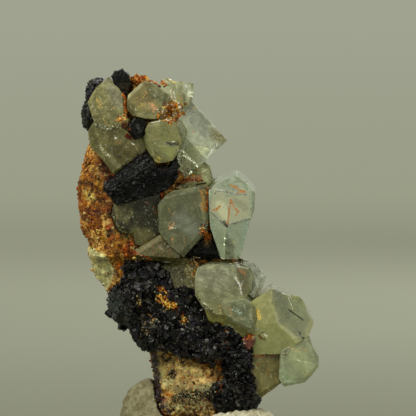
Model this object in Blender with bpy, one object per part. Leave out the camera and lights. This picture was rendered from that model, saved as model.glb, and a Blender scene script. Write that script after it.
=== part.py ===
"""Aquamarine crystals with black tourmaline on iron-stained feldspar, standing in putty.

The stone is seen from the front along +Y. Every outline is drawn in that front view,
as (x, z) in millimetres, and swept back into the stone. The origin is the middle of
the putty's flat underside.
"""
import math
import random

import bpy
import bmesh
from mathutils import Matrix, Vector, noise

MM = 0.001
PUTTY_HALF_WIDTH = 20.5
PUTTY_HALF_DEPTH = 14.0
PUTTY_PAD_HEIGHT = 8.0
CONTACT_GAP = 0.3
MERGE_DISTANCE = 0.01
BACK_END_DEPTH = 2.5
BACK_END_INSET = 0.8
PRISM_RADIUS = 7.9
PRISM_LENGTH = 17.0
PRISM_LEAN = math.radians(47)
PRISM_END = (0.4, 3.8, 71.8)
ROCK_ROUGHNESS = 1.7
ROCK_GRAIN = 8.0
ROCK_ROWS = 30
ROCK_COLUMNS = 27
CRUST_CRYSTALS = 74
CRUST_SIZE = (1.6, 3.2)
SEED = 7

PIECES = "aquamarine specimen"
CUTTERS = "aquamarine cutters"


def clear_scene():
    for item in list(bpy.data.objects):
        bpy.data.objects.remove(item, do_unlink=True)


def make_collection(name, hidden=False):
    group = bpy.data.collections.new(name)
    bpy.context.scene.collection.children.link(group)
    group.hide_render = hidden
    return group


def make_finish(name, colour, roughness, metallic=0.0, see_through=0.0):
    finish = bpy.data.materials.new(name)
    finish.use_nodes = True
    shader = finish.node_tree.nodes["Principled BSDF"]
    shader.inputs["Base Color"].default_value = (*colour, 1.0)
    shader.inputs["Roughness"].default_value = roughness
    shader.inputs["Metallic"].default_value = metallic
    shader.inputs["Transmission Weight"].default_value = see_through
    shader.inputs["IOR"].default_value = 1.57 if see_through else 1.5
    finish.diffuse_color = (*colour, 1.0)
    return finish


# Shapes of single crystals and lumps, each one closed convex body

def corner_points(bm_items):
    return [item for item in bm_items if isinstance(item, bmesh.types.BMVert)]


def cut_away(bm, point, normal):
    """Cut a flat face: all that lies on the normal's side of the point goes."""
    everything = bm.verts[:] + bm.edges[:] + bm.faces[:]
    bmesh.ops.bisect_plane(bm, geom=everything, plane_co=point, plane_no=normal,
                           clear_outer=True, dist=1e-6)
    rim = [edge for edge in bm.edges if edge.is_boundary]
    if rim:
        bmesh.ops.holes_fill(bm, edges=rim, sides=0)
    bmesh.ops.recalc_face_normals(bm, faces=bm.faces)


def sweep(outline, front, back, axis=(0.0, 0.0), tilt=(0.0, 0.0), falls=()):
    """A prism with this front view, swept back along an axis that may lean.

    axis is the shift in x and z for each millimetre of depth. tilt is how much the
    front face falls back for each millimetre in x and in z, from the outline's middle.
    Each fall is a line (x1, z1, x2, z2) on the front face and a steepness: on the side
    of the line away from the middle, the face falls back by that much a millimetre.
    The far end narrows, as a crystal's own end does.
    """
    bm = bmesh.new()
    middle_x = sum(x for x, z in outline) / len(outline)
    middle_z = sum(z for x, z in outline) / len(outline)

    def on_face(x, z):
        return Vector((x, front + tilt[0] * (x - middle_x) + tilt[1] * (z - middle_z), z))

    nearest = min(on_face(x, z).y for x, z in outline)
    depth = back - nearest
    before = front - nearest
    ring = [bm.verts.new((x - axis[0] * before, nearest, z - axis[1] * before)) for x, z in outline]
    face = bm.faces.new(ring)
    swept = bmesh.ops.extrude_face_region(bm, geom=[face])["geom"]
    shift = Vector((axis[0] * depth, depth, axis[1] * depth)) * (1.0 - BACK_END_DEPTH / depth)
    bmesh.ops.translate(bm, vec=shift, verts=corner_points(swept))
    bmesh.ops.recalc_face_normals(bm, faces=bm.faces)
    far_end = max(bm.faces, key=lambda item: item.calc_center_median().y)
    bmesh.ops.inset_individual(bm, faces=[far_end], thickness=BACK_END_INSET, depth=BACK_END_DEPTH)
    if any(tilt):
        cut_away(bm, on_face(middle_x, middle_z), Vector((tilt[0], -1.0, tilt[1])))
    for x1, z1, x2, z2, steepness in falls:
        begin, end = on_face(x1, z1), on_face(x2, z2)
        along = end - begin
        outward = Vector((along.z, 0.0, -along.x)).normalized()
        if outward.dot(begin - on_face(middle_x, middle_z)) < 0.0:
            outward.negate()
        normal = along.cross(outward + Vector((0.0, steepness, 0.0)))
        if normal.y > 0.0:
            normal.negate()
        cut_away(bm, begin, normal)
    return bm


def rod(start, end, radius, sides=6, turn=0.0, taper=1.0):
    """A straight crystal with flat ends between two points."""
    start, end = Vector(start), Vector(end)
    run = end - start
    bm = bmesh.new()
    bmesh.ops.create_cone(bm, cap_ends=True, segments=sides, radius1=radius,
                          radius2=radius * taper, depth=run.length)
    aim = run.to_track_quat("Z", "Y").to_matrix().to_4x4()
    place = Matrix.Translation((start + end) / 2.0)
    bmesh.ops.transform(bm, matrix=place @ aim @ Matrix.Rotation(turn, 4, "Z"), verts=bm.verts)
    return bm


def lump(centre, radii, points=2, roughness=0.0, grain=4.0):
    """A rounded rough body, like a broken lump of rock."""
    bm = bmesh.new()
    bmesh.ops.create_icosphere(bm, subdivisions=points, radius=1.0)
    bmesh.ops.scale(bm, vec=Vector(radii), verts=bm.verts)
    bmesh.ops.translate(bm, vec=Vector(centre), verts=bm.verts)
    roughen(bm, roughness, grain)
    return bm


def roughen(bm, amount, grain):
    """Break the surface like rock: flat tilted chips with small steps between them."""
    bm.normal_update()
    moves = []
    for corner in bm.verts:
        place = corner.co / grain
        chip = noise.voronoi(place)[1][0]
        slope = Vector(noise.noise(chip * 5.0 + Vector((0.0, 0.0, 20.0 * axis))) for axis in range(3))
        step = 2.2 * slope.dot(place - chip)
        wave = 0.5 * noise.noise(corner.co / (2.5 * grain)) + 0.2 * noise.noise(corner.co / 1.7)
        moves.append(corner.normal * (step + wave) * amount)
    for corner, move in zip(bm.verts, moves):
        corner.co += move
    bmesh.ops.triangulate(bm, faces=bm.faces[:])


def loft(sections, rows, points, squareness=0.75):
    """A closed body through level sections: each is z, left, right, front and back.

    A grid is wrapped round the sections, its columns round the body and its rows up it.
    """
    bm = bmesh.new()
    bmesh.ops.create_grid(bm, x_segments=points, y_segments=rows, size=1.0)
    for corner in bm.verts:
        angle = math.pi * corner.co.x
        height = (corner.co.y + 1.0) / 2.0 * (len(sections) - 1)
        below = min(int(height), len(sections) - 2)
        share = height - below
        z, left, right, front, back = (
            low + share * (high - low) for low, high in zip(sections[below], sections[below + 1])
        )
        round_x = math.copysign(abs(math.cos(angle)) ** squareness, math.cos(angle))
        round_y = math.copysign(abs(math.sin(angle)) ** squareness, math.sin(angle))
        corner.co = (
            (left + right) / 2.0 + round_x * (right - left) / 2.0,
            (front + back) / 2.0 + round_y * (back - front) / 2.0,
            z,
        )
    bmesh.ops.remove_doubles(bm, verts=bm.verts, dist=MERGE_DISTANCE)
    ends = bmesh.ops.holes_fill(bm, edges=[edge for edge in bm.edges if edge.is_boundary], sides=0)
    bmesh.ops.poke(bm, faces=ends["faces"])
    bmesh.ops.recalc_face_normals(bm, faces=bm.faces)
    return bm


# Pieces made from those shapes

class Specimen:
    """Builds pieces in turn. A piece is cut back from those that were there before it."""

    def __init__(self):
        self.pieces = make_collection(PIECES)
        self.cutters = make_collection(CUTTERS, hidden=True)
        self.grown = []

    def to_object(self, name, bm, group):
        mesh = bpy.data.meshes.new(name)
        bm.to_mesh(mesh)
        item = bpy.data.objects.new(name, mesh)
        group.objects.link(item)
        return item

    def add_cutter(self, name, bm):
        cutter = self.to_object(name, bm, self.cutters)
        cutter.display_type = "WIRE"
        cutter.hide_render = True
        return cutter

    def combine(self, item, cutter, operation):
        """Join or cut with another closed body, and keep the result as the item's own mesh.

        The rock's many small facets defeat the EXACT solver, so this uses MANIFOLD.
        """
        step = item.modifiers.new(operation.lower(), "BOOLEAN")
        step.operation = operation
        step.solver = "MANIFOLD"
        step.object = cutter
        view = bpy.context.evaluated_depsgraph_get()
        result = bpy.data.meshes.new_from_object(item.evaluated_get(view))
        item.modifiers.remove(step)
        bm = bmesh.new()
        bm.from_mesh(result)
        bpy.data.meshes.remove(result)
        for island in find_islands(bm)[1:]:
            bmesh.ops.delete(bm, geom=island, context="VERTS")
        bm.to_mesh(item.data)
        bm.free()

    def grow(self, name, bm):
        """Keep a copy that is larger all round by the contact gap, for cutting neighbours."""
        bigger = bm.copy()
        bigger.normal_update()
        moves = [corner.normal * corner.calc_shell_factor() * CONTACT_GAP for corner in bigger.verts]
        for corner, move in zip(bigger.verts, moves):
            corner.co += move
        low = [min(corner.co[axis] for corner in bigger.verts) for axis in range(3)]
        high = [max(corner.co[axis] for corner in bigger.verts) for axis in range(3)]
        self.grown.append((self.add_cutter("room for " + name, bigger), low, high))
        bigger.free()

    def add(self, name, members, finish, makes_room=None):
        """Join the members in one piece and cut it back from the pieces made before it."""
        item = self.to_object(name, members[0], self.pieces)
        item.data.materials.append(finish)
        for count, member in enumerate(members[1:], start=2):
            self.combine(item, self.add_cutter(f"{name} member {count}", member), "UNION")
        low = [min(c.co[axis] for m in members for c in m.verts) for axis in range(3)]
        high = [max(c.co[axis] for m in members for c in m.verts) for axis in range(3)]
        for cutter, near, far in self.grown:
            if all(low[axis] < far[axis] and near[axis] < high[axis] for axis in range(3)):
                self.combine(item, cutter, "DIFFERENCE")
        for count, member in enumerate(makes_room or members, start=1):
            self.grow(f"{name} {count}", member)
        return item

    def bring_to_metres(self):
        """The pieces are cut to each other in millimetres, then all are scaled as one."""
        for item in list(self.pieces.objects) + list(self.cutters.objects):
            item.data.transform(Matrix.Scale(MM, 4))


def surface_of(island):
    return sum(face.calc_area() for face in {face for corner in island for face in corner.link_faces})


def find_islands(bm):
    """The corners of each connected body, the one with the largest surface first."""
    waiting = set(bm.verts)
    islands = []
    while waiting:
        front = [waiting.pop()]
        island = list(front)
        while front:
            corner = front.pop()
            for edge in corner.link_edges:
                other = edge.other_vert(corner)
                if other in waiting:
                    waiting.remove(other)
                    island.append(other)
                    front.append(other)
        islands.append(island)
    return sorted(islands, key=surface_of, reverse=True)


def build_tourmalines(stone, black):
    stone.add("tourmaline_small", [
        sweep([(-19, 81), (-17.5, 82.6), (-15, 82), (-14.2, 80), (-15.5, 77.5), (-17.5, 77), (-19, 79)],
              -13.5, -4, tilt=(0.1, 0.1),
              falls=[(-18.3, 80.5, -17.3, 81.8, 0.9), (-17.3, 81.8, -14.8, 81, 0.9),
                     (-15, 80, -16, 78, 0.9), (-17, 77.6, -18.4, 79.5, 0.9)]),
    ], black)
    stone.add("tourmaline_top", [
        sweep([(-23.5, 92.5), (-22.5, 93.8), (-20.5, 94.4), (-19, 93), (-18.3, 90.5), (-19.5, 88), (-22, 90)],
              -8.5, 3, tilt=(0.15, 0.1),
              falls=[(-22.8, 92.4, -20.5, 93.6, 1.0), (-19.4, 92.6, -19.2, 90, 0.9)]),
    ], black)
    stone.add("tourmaline_block", [
        sweep([(-25.5, 65), (-19.5, 70.5), (-14.5, 74), (-12, 70), (-12, 63.5), (-17, 62.2), (-22, 60.8)],
              -14, -3, tilt=(-0.05, -0.08),
              falls=[(-24, 63.5, -13.5, 70.8, 1.0), (-22.6, 63.8, -21, 61, 0.9)]),
        sweep([(-14, 72), (-12, 69.6), (-8.4, 70.4), (-7.5, 73), (-6.7, 70), (-6.8, 67.5), (-9, 65),
               (-13, 63.3), (-16, 66)],
              -13.6, -3, tilt=(0.12, -0.05),
              falls=[(-13.5, 69.5, -7, 69, 0.8), (-7.8, 70, -9, 65.8, 0.9)]),
    ], black)
    stone.add("tourmaline_wedge", [
        sweep([(-4.8, 48), (-0.5, 52), (0.8, 56), (3, 52), (4, 47), (-3.5, 47.2)],
              -8.5, 0, tilt=(0.05, 0.2), falls=[(-3, 48.6, 3.2, 48.2, 0.6)]),
    ], black)


def build_top_group(stone, green, clear):
    stone.add("round_crystal", [
        sweep([(-14, 81), (-9.5, 81.8), (-7, 80.5), (-5.7, 78), (-6.8, 74), (-8.3, 71.5), (-12.3, 71),
               (-14.6, 74.3), (-15.4, 77.5)],
              -13, -1, axis=(0.12, 0.08), tilt=(0.08, -0.06),
              falls=[(-13.4, 80.3, -9.5, 81.1, 0.9), (-9.2, 81, -7, 79.6, 0.9), (-7.3, 80, -6.3, 77.6, 0.9),
                     (-13.6, 76.5, -11.6, 71.5, 1.4), (-12.5, 75.6, -6.2, 75.2, 0.35)]),
    ], green)
    stone.add("top_crystal", [
        sweep([(-15.3, 91.6), (-12.5, 90.6), (-9.6, 88.2), (-9.9, 85.5), (-11.8, 82.2), (-17.2, 82.2),
               (-19.3, 84.5), (-19.1, 88)],
              -12, 2, axis=(0.1, -0.1), tilt=(0.06, 0.12),
              falls=[(-18.3, 87.8, -15.1, 90.8, 1.3), (-14.6, 90.7, -10.4, 88, 0.8),
                     (-18.6, 85, -17, 83, 1.0), (-10.6, 87.4, -11, 85.2, 0.9), (-10.9, 85.4, -12.3, 82.8, 0.9)]),
    ], green)
    stone.add("upper_left_crystals", [
        sweep([(-24, 92.5), (-20, 87.6), (-19.6, 83), (-22, 79.5), (-27, 80), (-29.2, 86.2), (-27, 90)],
              -10, 5, axis=(0.05, -0.1), tilt=(-0.12, 0.1),
              falls=[(-23.9, 91.2, -20.6, 87.2, 0.9), (-27.8, 85.8, -25.6, 90.4, 0.7),
                     (-20.7, 87, -20.4, 82.5, 0.8)]),
        sweep([(-27, 82), (-19.5, 82.5), (-14.3, 76.5), (-16, 71.5), (-22.5, 68), (-25.5, 72), (-28.5, 75),
               (-29, 79)],
              -10.6, 4, axis=(0.05, 0.0), tilt=(0.05, -0.1),
              falls=[(-23.4, 70.5, -26.5, 77.5, 0.8), (-16.4, 72.8, -21.8, 69.6, 0.7),
                     (-19, 81, -15.5, 76.5, 0.8)]),
    ], green)
    stone.add("large_prism", [
        rod((PRISM_END[0] - PRISM_LENGTH * math.cos(PRISM_LEAN), PRISM_END[1],
             PRISM_END[2] + PRISM_LENGTH * math.sin(PRISM_LEAN)),
            PRISM_END, PRISM_RADIUS, turn=math.radians(30)),
    ], clear)
    stone.add("glassy_columns", [
        sweep([(-10.8, 91.4), (-9.8, 92.2), (-7, 91), (-5.5, 88), (-5.4, 85), (-8.2, 84), (-11.2, 86)],
              -4, 6, axis=(0.05, -0.1), tilt=(0.1, 0.15),
              falls=[(-9.9, 90.9, -7.4, 90.2, 0.9), (-6.9, 89.6, -6.4, 85, 0.9), (-9.6, 90, -9.8, 85.4, 0.5)]),
        sweep([(-7, 91.2), (-3, 90.8), (-3, 88.2), (-3.4, 85.8), (-5.5, 84.5), (-7.4, 87)],
              -2, 6, axis=(0.0, -0.1), tilt=(-0.1, 0.1),
              falls=[(-6.5, 90.3, -3.5, 89.9, 0.8), (-3.9, 90, -4.2, 86, 0.9)]),
    ], clear)


def build_middle_group(stone, green, clear, brown):
    stone.add("middle_crystal", [
        sweep([(-7.8, 64.2), (0.5, 65.6), (0.6, 59), (0.2, 54.2), (-5.5, 47.9), (-9.2, 51.2), (-11.4, 54.2),
               (-11.6, 60.8), (-9.5, 63.2)],
              -14, -3, axis=(0.05, -0.05), tilt=(0.04, -0.05),
              falls=[(-1.6, 64.5, 0.0, 55.5, 1.3), (-9, 62.6, -1.8, 64.4, 1.1), (-10.9, 54.5, -11, 60.4, 1.0),
                     (-6.2, 49, -0.4, 54.6, 0.8)]),
    ], green)
    stone.add("standing_prism", [
        sweep([(1, 64), (2.8, 65.8), (7.8, 67.5), (10.8, 65.5), (12.4, 63.2), (12.2, 59.5), (11.2, 57),
               (8.5, 46.5), (4, 46.8), (1.4, 55)],
              -14, 3, axis=(0.0, 0.1), tilt=(0.05, 0.16),
              falls=[(1.5, 59.2, 5.2, 55.7, 0.9), (5.2, 55.7, 11.3, 57.5, 0.7), (2.6, 64.4, 10.8, 63.3, 0.5),
                     (11.4, 64, 11.4, 57.5, 1.0)]),
    ], clear)
    stone.add("ledge_crystal", [
        sweep([(-7.2, 64.6), (-0.3, 71), (1, 70), (2.2, 65.8), (1, 62.5), (-6, 62.5)],
              -6, 5, tilt=(0.1, 0.3), falls=[(-4.6, 65.8, 0.6, 69.4, 0.9), (0.9, 69, 1.4, 64, 0.8)]),
    ], brown)
    stone.add("shaded_crystals", [
        sweep([(-18.5, 62), (-11.8, 64), (-10, 58.5), (-10.6, 52.5), (-14.5, 50.8), (-17.2, 50.6), (-18.5, 55.2)],
              -10.5, -2, tilt=(0.12, -0.05), falls=[(-15.4, 51.2, -17.6, 56.5, 0.9), (-13, 51.6, -11, 54.5, 0.8)]),
        sweep([(-22.6, 61), (-18, 62.2), (-16.5, 56.2), (-18, 53.5), (-21.5, 54), (-23.2, 58)],
              -10, -2, tilt=(-0.15, 0.0), falls=[(-22, 56.6, -21.4, 60.5, 0.8), (-17.5, 54.6, -21, 55, 0.7)]),
    ], green)
    stone.add("shelf_crystal", [
        sweep([(-17.2, 49.5), (-14, 51.2), (-11, 53.2), (-6.2, 48.5), (-6.5, 47), (-8.2, 45.9), (-13.2, 47),
               (-16.8, 47.2)],
              -13, -3, axis=(0.0, 0.05), tilt=(0.0, 0.12),
              falls=[(-7, 47.6, -15.5, 48.2, 1.4), (-16, 49, -11.5, 52, 0.7)]),
    ], brown)


def build_lower_group(stone, green, clear, brown):
    stone.add("hazy_crystals", [
        sweep([(-1.8, 45), (0.8, 45.9), (6.8, 45.5), (10.2, 44.4), (11.4, 42.1), (10.9, 39.4), (9.8, 37.2),
               (7.8, 33.5), (3, 33.5), (-0.2, 35), (-2.4, 38.2), (-2.4, 42.8)],
              -14, 1, axis=(0.1, 0.05), tilt=(0.02, 0.03),
              falls=[(7.4, 44.8, 9.4, 37.5, 1.4), (-1, 44.9, 7.6, 44.7, 1.2), (-0.4, 36.2, -1.7, 39, 0.8)]),
        sweep([(4, 36.5), (10, 37.4), (12.4, 35), (12.5, 32), (11, 29.4), (5.8, 32.2)],
              -14.6, 0, axis=(0.1, 0.05), tilt=(0.1, -0.1),
              falls=[(11.4, 35.6, 11.6, 31.4, 0.9), (10.8, 30.4, 6.5, 32.8, 0.9)]),
    ], green)
    stone.add("lower_right_crystals", [
        sweep([(11, 36), (16.8, 39.8), (20.8, 37.8), (25.2, 34), (26.9, 31.2), (25.5, 27.8), (22.5, 26),
               (19, 23.5), (11.8, 23.2), (10.5, 26.5)],
              -14.5, 3, axis=(0.0, 0.05), tilt=(0.34, 0.12),
              falls=[(16.5, 38.6, 18, 30.5, 0.34), (18.2, 31.2, 22, 27.2, 0.5), (12.2, 34.6, 11.4, 26, 0.7),
                     (19, 24.6, 12, 24.2, 0.9)]),
        sweep([(20.4, 36.5), (22, 38.1), (23.4, 37.8), (24.8, 36), (25.4, 33), (22.4, 32)],
              -12, -3, tilt=(0.3, 0.1), falls=[(21.2, 37.2, 24, 36.4, 0.9)]),
    ], green)
    stone.add("lower_tip", [
        sweep([(19, 24.5), (25.8, 28), (26.8, 25.2), (28.3, 22.8), (28.3, 20.4), (26.5, 18), (24.9, 16.5),
               (19.8, 15.5), (18.5, 17.5)],
              -12.4, 3, axis=(-0.1, 0.05), tilt=(0.14, -0.08),
              falls=[(26, 25.5, 27.4, 21.5, 0.8), (27.2, 20.6, 24.4, 17.4, 0.9), (24, 17, 20, 16.4, 0.9)]),
    ], green)
    stone.add("speckled_foot", [
        sweep([(10.5, 24), (19.5, 24), (19, 16.5), (17.1, 14.8), (14, 12.6), (12.2, 14), (10.8, 19)],
              -10, 5, axis=(-0.1, 0.05), tilt=(0.05, 0.08), falls=[(17.8, 16.2, 13.4, 13.8, 0.9)]),
    ], brown)
    stone.add("clear_tip", [
        sweep([(9.6, 46.9), (12.2, 45.9), (14.5, 43.8), (15.3, 42.3), (14.5, 40), (12.4, 37), (9.5, 39.5)],
              -7, 4, axis=(-0.12, 0.0), tilt=(0.1, 0.05),
              falls=[(10, 45.6, 13.9, 43, 0.8), (14.2, 42.6, 12.6, 38.6, 0.8)]),
    ], clear)
    stone.add("green_wedge", [
        sweep([(-0.6, 36.2), (3, 35), (8, 33.6), (12, 29.6), (10, 27), (8.2, 26), (5.2, 26.6), (1, 32)],
              -10.5, 0, tilt=(0.0, -0.15), falls=[(9.8, 27.6, 2.2, 31.6, 0.5)]),
    ], green)
    stone.add("fibrous_crystal", [
        sweep([(-12.2, 46), (-7.5, 47), (-5.2, 48), (-1.6, 46), (-1.2, 39.5), (-5, 38.8), (-10, 39.6)],
              -9, 0, tilt=(0.0, 0.1), falls=[(-2.5, 45.2, -11, 45.2, 0.8)]),
    ], brown)
    stone.add("rust_nodule", [
        sweep([(9.4, 27.2), (11.2, 29), (12.6, 28.5), (12.4, 26.5), (11, 24.8), (10, 25.6)],
              -12, -6, tilt=(0.1, 0.1), falls=[(10.4, 27.6, 11.6, 28.4, 0.8)]),
    ], brown)


def crust_lumps():
    """The dark masses on the lower front, left to right and top to bottom."""
    places = [
        ((-17.0, -2.5, 35.5), (7.6, 9.0, 7.0)),
        ((-15.0, -7.0, 41.5), (5.6, 4.8, 5.4)),
        ((-9.0, -8.0, 35.5), (7.0, 5.0, 5.6)),
        ((-12.5, -7.0, 29.5), (6.2, 6.0, 5.6)),
        ((-4.0, -8.0, 29.5), (7.6, 5.4, 6.6)),
        ((2.5, -8.0, 26.5), (6.4, 5.0, 6.2)),
        ((8.5, -7.0, 21.5), (4.6, 5.0, 6.4)),
        ((9.5, -6.0, 14.0), (5.0, 6.0, 5.2)),
        ((5.0, -7.0, 12.0), (3.6, 4.4, 3.6)),
    ]
    return [lump(centre, radii, roughness=0.6, grain=3.5) for centre, radii in places]


def build_crust(stone, black):
    """One crust: its masses, and small blocky crystals that stand on them."""
    masses = crust_lumps()
    dice = random.Random(SEED)
    members = list(masses)
    while len(members) < len(masses) + CRUST_CRYSTALS:
        mass = masses[dice.randrange(len(masses))]
        mass.faces.ensure_lookup_table()
        face = mass.faces[dice.randrange(len(mass.faces))]
        spot = face.calc_center_median()
        if face.normal.y > -0.2 or spot.z < 12.0:
            continue
        size = dice.uniform(*CRUST_SIZE)
        block = bmesh.new()
        bmesh.ops.create_cube(block, size=size)
        turn = Matrix.Rotation(dice.uniform(0, math.tau), 4, Vector((dice.random(), dice.random(), 1.0)))
        bmesh.ops.transform(block, matrix=Matrix.Translation(spot) @ turn, verts=block.verts)
        members.append(block)
    stone.add("dark_crust", members, black, makes_room=masses)


def build_rim(stone, grey):
    stone.add("purple_rim", [
        lump((-28.0, -3.0, 88.0), (1.8, 4.0, 3.4), roughness=0.5, grain=2.0),
        lump((-29.0, -3.0, 83.0), (1.6, 4.5, 4.0), roughness=0.5, grain=2.0),
        lump((-26.5, -2.0, 90.5), (1.8, 3.0, 1.6), roughness=0.4, grain=2.0),
    ], grey)


def rock_sections():
    """The feldspar from its foot to its top: z, left, right, front, back."""
    return [
        (4.0, -8.0, 10.0, -3.0, 7.0),
        (8.0, -11.0, 13.0, -6.5, 9.0),
        (13.0, -12.3, 14.5, -8.5, 10.0),
        (19.0, -12.8, 14.0, -8.8, 11.0),
        (24.0, -13.5, 13.0, -7.0, 12.0),
        (30.0, -20.0, 13.5, -5.0, 12.5),
        (36.0, -23.8, 12.0, -5.0, 12.5),
        (42.0, -25.7, 9.0, -6.0, 12.0),
        (48.0, -28.5, 6.5, -7.5, 12.5),
        (54.0, -29.8, 5.5, -8.0, 13.0),
        (60.0, -31.4, 3.0, -7.0, 13.0),
        (66.0, -31.6, -4.0, -6.0, 12.5),
        (72.0, -30.6, -8.0, -5.0, 12.0),
        (78.0, -28.6, -8.0, -5.0, 11.0),
        (84.0, -28.0, -5.0, -5.0, 9.0),
        (89.0, -25.0, -10.0, -4.0, 7.0),
        (92.0, -19.5, -15.0, -2.0, 4.0),
    ]


def build_matrix(stone, orange):
    body = loft(rock_sections(), rows=ROCK_ROWS, points=ROCK_COLUMNS)
    roughen(body, ROCK_ROUGHNESS, ROCK_GRAIN)
    stone.add("matrix", [
        body,
        lump((-7.4, -6.0, 83.8), (3.2, 4.6, 2.5), roughness=0.6, grain=1.5),
        lump((-20.5, -6.0, 81.0), (1.6, 3.5, 1.9), roughness=0.3, grain=1.5),
        lump((-17.0, -1.0, 91.4), (1.8, 3.0, 1.4), roughness=0.3, grain=1.5),
    ], orange)


def build_putty(stone, beige):
    """A pad squeezed round the stone's foot, with a tall roll on the left and one in front."""
    pad = lump((-1.0, 0.5, 1.5), (PUTTY_HALF_WIDTH, PUTTY_HALF_DEPTH, PUTTY_PAD_HEIGHT), points=3)
    left_roll = lump((-13.5, 4.0, 7.0), (8.0, 8.5, 10.2), points=3)
    front_roll = lump((9.0, -7.0, 4.5), (10.5, 5.5, 6.2), points=3)
    for body in (pad, left_roll, front_roll):
        cut_away(body, Vector((0, 0, 0)), Vector((0, 0, -1)))
    stone.add("putty", [pad, left_roll, front_roll], beige)


def build():
    clear_scene()
    green = make_finish("beryl, etched", (0.40, 0.42, 0.24), 0.22, see_through=0.8)
    clear = make_finish("beryl, glassy", (0.50, 0.55, 0.40), 0.08, see_through=0.9)
    brown = make_finish("beryl, iron stained", (0.28, 0.22, 0.10), 0.35, see_through=0.4)
    black = make_finish("tourmaline, black", (0.012, 0.010, 0.012), 0.3)
    grey = make_finish("fluorite crust", (0.05, 0.04, 0.06), 0.4)
    orange = make_finish("feldspar, iron stained", (0.36, 0.17, 0.05), 0.8)
    beige = make_finish("putty", (0.42, 0.38, 0.26), 0.7)
    stone = Specimen()
    build_tourmalines(stone, black)
    build_top_group(stone, green, clear)
    build_middle_group(stone, green, clear, brown)
    build_lower_group(stone, green, clear, brown)
    build_matrix(stone, orange)
    build_crust(stone, black)
    build_rim(stone, grey)
    build_putty(stone, beige)
    stone.bring_to_metres()


build()
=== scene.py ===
"""Aquamarine crystals on feldspar in a lump of putty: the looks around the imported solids.

Lengths are millimetres while a mesh is made, and metres once it is done. A spot on the
front is given as a point of a 416 by 416 picture, four points to the millimetre.
"""
import math
import random

import bmesh
import bpy
import numpy as np
from mathutils import Matrix, Vector, kdtree, noise
from mathutils.bvhtree import BVHTree


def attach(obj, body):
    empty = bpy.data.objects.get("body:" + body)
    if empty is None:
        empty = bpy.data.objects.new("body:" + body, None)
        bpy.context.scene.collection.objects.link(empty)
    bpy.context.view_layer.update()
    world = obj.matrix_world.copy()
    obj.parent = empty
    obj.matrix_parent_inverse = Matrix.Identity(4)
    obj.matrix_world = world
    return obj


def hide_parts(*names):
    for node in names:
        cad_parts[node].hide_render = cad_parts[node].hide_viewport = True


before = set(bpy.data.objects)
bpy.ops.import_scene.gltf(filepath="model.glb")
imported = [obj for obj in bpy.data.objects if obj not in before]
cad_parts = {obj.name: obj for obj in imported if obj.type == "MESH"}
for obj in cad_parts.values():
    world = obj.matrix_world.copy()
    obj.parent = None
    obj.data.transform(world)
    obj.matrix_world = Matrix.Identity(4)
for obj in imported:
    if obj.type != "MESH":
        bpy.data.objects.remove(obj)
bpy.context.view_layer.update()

MM = 0.001
SPOT_SIZE = 0.25
SPOT_MIDDLE = 205.0
SPOT_FLOOR = 446.0
PICTURE_WIDTH = 0.104
PICTURE_MIDDLE = Vector((0.00075, 0.0, 0.0595))
CAMERA_DISTANCE = 2.4
CAMERA_RISE = math.radians(2.0)
SENSOR = 36.0

CRYSTAL_MESH = 0.5
FINE_MESH = 0.18
CRYSTAL_EDGE = 0.14
EDGE_REACH = 0.32
CLOSE_GAP = 0.15
FAR_SIDE = 0.35
LIT = 2.4


def linear(code, alpha=1.0):
    """An sRGB hex colour as the linear one that Blender works in."""
    parts = [int(code[i:i + 2], 16) / 255.0 for i in (1, 3, 5)]
    return (*(p / 12.92 if p <= 0.04045 else ((p + 0.055) / 1.055) ** 2.4 for p in parts), alpha)


def on_front(spot):
    """A picture point as x and z in millimetres."""
    return ((spot[0] - SPOT_MIDDLE) * SPOT_SIZE, (SPOT_FLOOR - spot[1]) * SPOT_SIZE)


# Materials

def add_node(tree, kind, settings=None, inputs=None):
    """Add a node; an input takes a value, or another node's output as a link."""
    node = tree.nodes.new(kind)
    for key, value in (settings or {}).items():
        setattr(node, key, value)
    for key, value in (inputs or {}).items():
        if isinstance(value, bpy.types.NodeSocket):
            tree.links.new(value, node.inputs[key])
        else:
            node.inputs[key].default_value = value
    return node


def start_material(name, **shine):
    """A material with its shader, and the coordinates and stains that its nodes read."""
    material = bpy.data.materials.new(name)
    material.use_nodes = True
    tree = material.node_tree
    shader = tree.nodes["Principled BSDF"]
    for key, value in shine.items():
        shader.inputs[key.replace("_", " ")].default_value = value
    place = add_node(tree, "ShaderNodeTexCoord").outputs["Object"]
    tint = add_node(tree, "ShaderNodeAttribute", {"attribute_name": "tint"})
    return material, tree, shader, place, tint


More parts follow.
